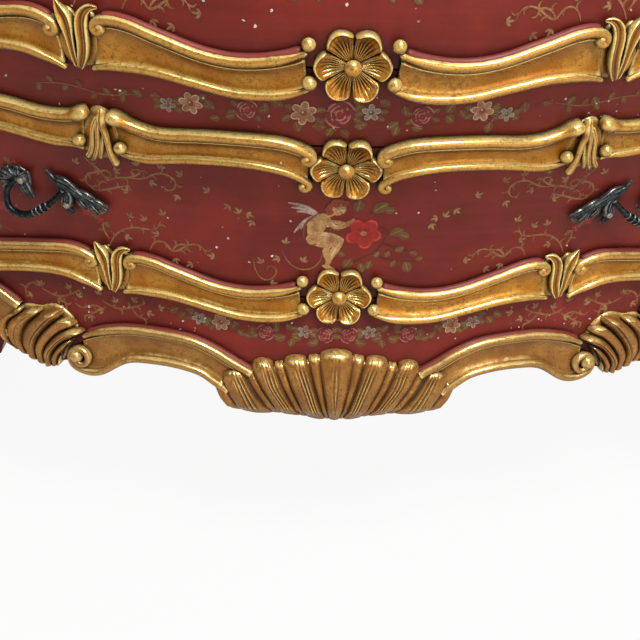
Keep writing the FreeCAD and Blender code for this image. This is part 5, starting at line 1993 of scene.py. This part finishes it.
APRON_LEAVES = [
    (146, 321), (129, 312), (101, 309), (89, 299), (84, 305), (56, 299), (47, 311), (45, 295), (24, 295),
    (96, 302), (154, 314), (40, 300), (60, 312), (162, 319),
]
APRON_SCROLLS = [
    [(266, 311), (259, 307), (248, 311), (240, 310), (246, 303), (259, 298)],
    [(318, 309), (318, 320), (305, 328), (299, 323)], [(236, 318), (222, 312), (206, 315), (190, 322)],
    [(206, 315), (200, 307), (190, 304)], [(300, 322), (284, 316), (270, 320), (258, 328)],
    [(284, 316), (276, 306), (280, 298), (290, 300)],
]
APRON_TUFTS = [
    (300, 326, 40), (285, 312, 200), (262, 318, 120), (250, 300, 260), (236, 306, 10), (222, 318, 70),
    (204, 322, 130), (190, 312, 200), (178, 318, 160), (270, 326, 60), (312, 314, 330), (240, 324, 100),
]


@dataclass
class DrawerPicture:
    """The painted scrolls on a drawer's front, and the child and flower or the bunch between them."""

    name: str
    body: Body
    z: float
    leaf_length: float = 8.0

    def build(self, shop: Workshop) -> None:
        """Paint the front."""
        brush = Brush(shop.front)
        for sign in (1, -1):
            brush.move((0.0, self.z), sign)
            self.scrolls(brush)
        brush.move((0.0, self.z))
        if self.body is Body.LOWER:
            self.child(brush)
            self.flower(brush)
        else:
            bunch(brush.move((0.0, self.z + 78.0)))
        brush.move((0.0, self.z)).chips((-330.0, 34.0), (330.0, 126.0), 40, 7)
        painting = Piece(f"{self.name}_drawer_painting", self.body, Slot.RED, shop.paint, smooth=False)
        painting.add(brush.meshes(shop)).finish()

    def scrolls(self, brush: Brush) -> None:
        """Thin scrolls with leaves, and the buds beside the pull."""
        for points in SCROLLS:
            brush.line(Tint.SCROLL, 2.3, points)
            brush.line(Tint.TAN, 0.8, points, 1)
            brush.tendrils(points, 9.0)
        for x, z, turn in SCROLL_LEAVES:
            brush.tuft((x, z), self.leaf_length, turn)
        for x, z, radius in SIDE_BUDS:
            brush.blossom((x, z), radius, RED_FLOWER, x)
            brush.leaf((x - 7, z - 5), self.leaf_length, 215)
            brush.leaf((x + 6, z + 6), self.leaf_length, 40)
        brush.spray([(322, 38), (346, 46), (372, 40), (398, 44)], 6, self.leaf_length)
        brush.spray([(330, 126), (352, 118), (378, 124), (404, 116)], 6, self.leaf_length)

    def child(self, brush: Brush) -> None:
        """A small winged child, of no one in particular."""
        for points in GROUND_SCROLLS:
            brush.line(Tint.SCROLL, 1.7, points)
        for x, z, turn in ((-52, 57, 80), (-57, 41, 200), (-36, 38, 60), (-74, 34, 120), (-66, 12, 10)):
            brush.tuft((x, z), self.leaf_length, turn)
        for points in WING_FEATHERS:
            brush.line(Tint.WING, 3.8, points, 1)
            brush.line(Tint.CREAM, 1.0, points, 2)
        brush.dab(Tint.SKIN, (-25.5, 63.5), (7.6, 6.8), 0, 3)
        for level, tint, strokes in ((3, Tint.SKIN, LIMBS), (4, Tint.SHADE, LIMB_SHADES),
                                     (5, Tint.GLOW, LIMB_LIGHTS)):
            for width, points in strokes:
                brush.line(tint, width, points, level)
        brush.dab(Tint.SKIN, (-4.5, 97), (7.8, 7.0), 20, 4)
        brush.dab(Tint.GLOW, (-2.5, 96), (3.8, 3.6), 20, 5)
        for place in CURLS:
            brush.dab(Tint.HAIR, place, (3.8, 3.0), 30, 6)
        brush.dab(Tint.BLUSH, (-2.0, 93.8), (1.6, 1.3), 0, 6)
        for place in ((-3.8, 97.4), (-0.2, 97.6)):
            brush.dab(Tint.STEM, place, (0.8, 0.5), 0, 7)
        brush.line(Tint.ROSE, 0.9, [(-2.2, 92.0), (-0.8, 91.6), (0.8, 92.2)], 7)

    def flower(self, brush: Brush) -> None:
        """The large red flower that the child reaches for."""
        for points in FLOWER_STEMS:
            brush.line(Tint.STEM, 1.6, points)
        for x, z, turn, length in FLOWER_LEAVES:
            brush.leaf((x, z), length, turn, 1)
        for angle in (128, 52, 346, 280, 206):
            for level, tint, reach, size in ((3, Tint.SCARLET, 9.5, (8.6, 7.4)),
                                             (4, Tint.CORAL, 12.5, (4.2, 5.0)),
                                             (5, Tint.SCARLET, 11.0, (4.2, 4.6))):
                brush.dab(tint, stepped(FLOWER_HEART, angle, reach), size, angle, level)
            for off in (-16, 0, 16):
                vein = [stepped(FLOWER_HEART, angle + off, reach) for reach in (3, 7, 11)]
                brush.line(Tint.ROSE, 0.8, vein, 6)
        brush.dab(Tint.TAN, FLOWER_HEART, (2.8, 2.6), 20, 7)
        brush.dab(Tint.SHADE, (20.4, 70.6), (1.3, 1.2), 0, 8)


def bunch(brush: Brush) -> None:
    """A loose bunch of flowers about the brush's origin."""
    for sign in (1, -1):
        brush.move(brush.origin, sign, brush.scale)
        brush.spray([(4, 2), (22, 14), (42, 18), (64, 12)], 6, 10.0, Tint.STEM)
        brush.spray([(4, -2), (20, -14), (40, -20), (58, -16)], 6, 10.0, Tint.STEM)
        brush.spray([(2, 6), (10, 22), (24, 34), (40, 38)], 5, 9.0, Tint.STEM)
        brush.blossom((28, 10), 10, TAN_FLOWER, 10)
        brush.blossom((24, -12), 8, GREY_FLOWER, 40)
        brush.blossom((46, -2), 6, GREY_FLOWER)
        brush.blossom((14, 25), 7, RED_FLOWER, 30)
    brush.move(brush.origin, 1, brush.scale)
    brush.rose((0, 0), 15)


@dataclass
class CasePicture:
    """The painted flowers on the rails, the apron, the sides, the posts and the top."""

    form: CaseForm
    leaf_length: float = 8.0
    side_height: float = 545.0

    def build(self, shop: Workshop) -> None:
        """Paint the case."""
        once = self.front(shop).meshes(shop) + self.top(shop).meshes(shop)
        twice = self.side(shop).meshes(shop) + self.post(shop).meshes(shop)
        piece = Piece("case_painting", Body.CASE, Slot.RED, shop.paint, smooth=False)
        piece.add(once).add(twice, Sides.BOTH).finish()

    def garland(self, brush: Brush, tans: Sequence, greys: Sequence, roses: Sequence,
                leaves: Sequence) -> None:
        """Flowers and leaves in a row.

        Args:
            brush: What paints it.
            tans: Tan flowers, each with a radius.
            greys: Grey flowers.
            roses: Roses.
            leaves: Places of single leaves.
        """
        for i, place in enumerate(leaves):
            brush.leaf(place, self.leaf_length + 1.5 + i % 3, (i * 67) % 360)
        for x, z, radius in [*tans, *greys, *roses]:
            for turn in (160, 205, 335, 20):
                way = math.radians(turn + (x * 7) % 40 - 20)
                place = (x + (radius + 2.5) * math.cos(way), z + (radius + 0.5) * math.sin(way))
                brush.leaf(place, self.leaf_length, math.degrees(way))
        for flowers, kind in ((tans, TAN_FLOWER), (greys, GREY_FLOWER)):
            for x, z, radius in flowers:
                brush.blossom((x, z), radius, kind, x)
        for x, z, radius in roses:
            brush.rose((x, z), radius)

    def front(self, shop: Workshop) -> Brush:
        """The garlands on the rails and the apron."""
        brush = Brush(shop.front)
        self.garland(brush, RAIL_TAN, RAIL_GREY, RAIL_ROSES, RAIL_LEAVES)
        for sign in (1, -1):
            brush.move((0.0, 0.0), sign)
            self.garland(brush, APRON_TAN, APRON_GREY, APRON_ROSES, APRON_LEAVES)
            for points in APRON_SCROLLS:
                brush.line(Tint.SCROLL, 2.2, points)
                brush.tendrils(points, 9.0)
            for x, z, turn in APRON_TUFTS:
                brush.tuft((x, z), self.leaf_length, turn)
            brush.spray([(176, 546), (206, 542), (238, 548), (270, 546)], 7, self.leaf_length)
            brush.spray([(300, 548), (330, 556), (364, 552), (400, 544)], 7, self.leaf_length)
            brush.spray([(20, 770), (80, 776), (150, 768), (230, 772), (310, 766)], 16, self.leaf_length)
        brush.move((0.0, 0.0))
        brush.chips((-300.0, 520.0), (300.0, 556.0), 46, 3)
        brush.chips((-290.0, 296.0), (290.0, 332.0), 70, 5)
        return brush

    def side(self, shop: Workshop) -> Brush:
        """Scrolls round a bunch of flowers on the right side."""
        brush = Brush(shop.side)
        middle = (self.form.post_y + self.form.rear_post_y) / 2
        self.scrollwork(brush, (middle, self.side_height - 78), 0.62, 2.4, self.leaf_length * 1.5)
        bunch(brush.move((middle, self.side_height), 1, 1.2))
        return brush

    @staticmethod
    def scrollwork(brush: Brush, origin: Place, scale: float, width: float, length: float) -> None:
        """Scrolls and leaves on both sides of a place.

        Args:
            brush: What paints them.
            origin: The place.
            scale: Their scale.
            width: Width of a scroll.
            length: Length of a leaf.
        """
        for sign in (1, -1):
            brush.move(origin, sign, scale)
            for points in SCROLLS:
                brush.line(Tint.SCROLL, width, points)
            for x, z, turn in SCROLL_LEAVES:
                brush.leaf((x, z), length, turn)

    @staticmethod
    def post(shop: Workshop) -> Brush:
        """A spray down the right front post."""
        brush = Brush(shop.post)
        brush.spray([(50, 560), (46, 520), (54, 470), (47, 420), (50, 370)], 14, 12.0)
        return brush

    def top(self, shop: Workshop) -> Brush:
        """Corner scrolls and a bunch of flowers on the top."""
        brush = Brush(shop.top)
        self.scrollwork(brush, (0.0, -50.0), 1.2, 1.9, self.leaf_length * 1.2)
        bunch(brush.move((0.0, 40.0), 1, 1.7))
        return brush


LAMPS = [
    ("key_light", (0.4, -1.15, 2.4), (0.0, -0.25, 0.45), 0.8, 60.0),
    ("fill_light", (1.3, -2.8, 1.4), (0.0, -0.1, 0.45), 1.8, 30.0),
    ("back_light", (-0.6, 2.6, 2.2), (0.0, 0.1, 0.5), 1.8, 34.0),
]


@dataclass
class Studio:
    """Camera, floor and light."""

    lens: float = 50.625
    sensor: float = 36.0
    place: tuple[float, float, float] = (-0.04807, -0.9684, 0.7625)
    yaw: float = -0.040312795
    pitch: float = 30.0
    roll: float = 0.0338157

    def build(self) -> None:
        """Set up the view."""
        lens = bpy.data.cameras.new("photo_camera")
        lens.lens = self.lens
        lens.sensor_width = self.sensor
        camera = placed("photo_camera", lens)
        camera.matrix_world = (Matrix.Translation(self.place) @ Matrix.Rotation(self.yaw, 4, "Z")
                               @ Matrix.Rotation(math.radians(90 - self.pitch), 4, "X")
                               @ Matrix.Rotation(self.roll, 4, "Z"))
        bpy.context.scene.camera = camera
        self.floor()
        for name, place, aim, size, power in LAMPS:
            light = bpy.data.lights.new(name, "AREA")
            light.size, light.energy = size, power
            lamp = placed(name, light)
            lamp.location = place
            lamp.rotation_euler = (Vector(aim) - Vector(place)).to_track_quat("-Z", "Y").to_euler()
        world = bpy.data.worlds.new("studio")
        world.use_nodes = True
        sky = world.node_tree.nodes["Background"]
        sky.inputs["Color"].default_value = (1.0, 0.985, 0.96, 1.0)
        sky.inputs["Strength"].default_value = 0.26
        bpy.context.scene.world = world
        bpy.context.scene.view_settings.view_transform = "Standard"

    @staticmethod
    def floor() -> None:
        """Lay a wide pale floor."""
        mesh = bpy.data.meshes.new("floor")
        mesh.from_pydata([(-14, -14, 0), (14, -14, 0), (14, 14, 0), (-14, 14, 0)], [], [(0, 1, 2, 3)])
        mesh.materials.append(PaleFloor().make())
        placed("floor", mesh)


def dress_nodes(shop: Workshop) -> None:
    """Give every CAD node the finish of its slot."""
    finishes = {Slot.RED: shop.red, Slot.GILT: shop.gilt, Slot.CASE_WOOD: shop.case_wood,
                Slot.DRAWER_WOOD: shop.drawer_wood, Slot.BRONZE: shop.bronze, Slot.BRASS: shop.brass}
    for part in frame["record"]["subparts"]:
        crosswise = part["node"].endswith("_drawer_back")
        for holder in frame["nodes"][part["node"]].material_slots:
            holder.material = shop.drawer_back_wood if crosswise else finishes[Slot(part["material_slot"])]
    LOG.info("finishes given to %d nodes", len(frame["nodes"]))


def main() -> None:
    """Build the pieces in order."""
    logging.basicConfig(level=logging.INFO, format="%(name)s %(message)s")
    shop = Workshop()
    dress_nodes(shop)
    for drawer in DRAWERS:
        Drawer(*drawer).build(shop)
    Apron(shop.form).build(shop)
    Corners().build(shop)
    Flanks(shop.form).build(shop)
    for drawer in DRAWERS:
        DrawerPicture(*drawer).build(shop)
    CasePicture(shop.form).build(shop)
    Studio().build()


if __name__ == "__main__":
    main()
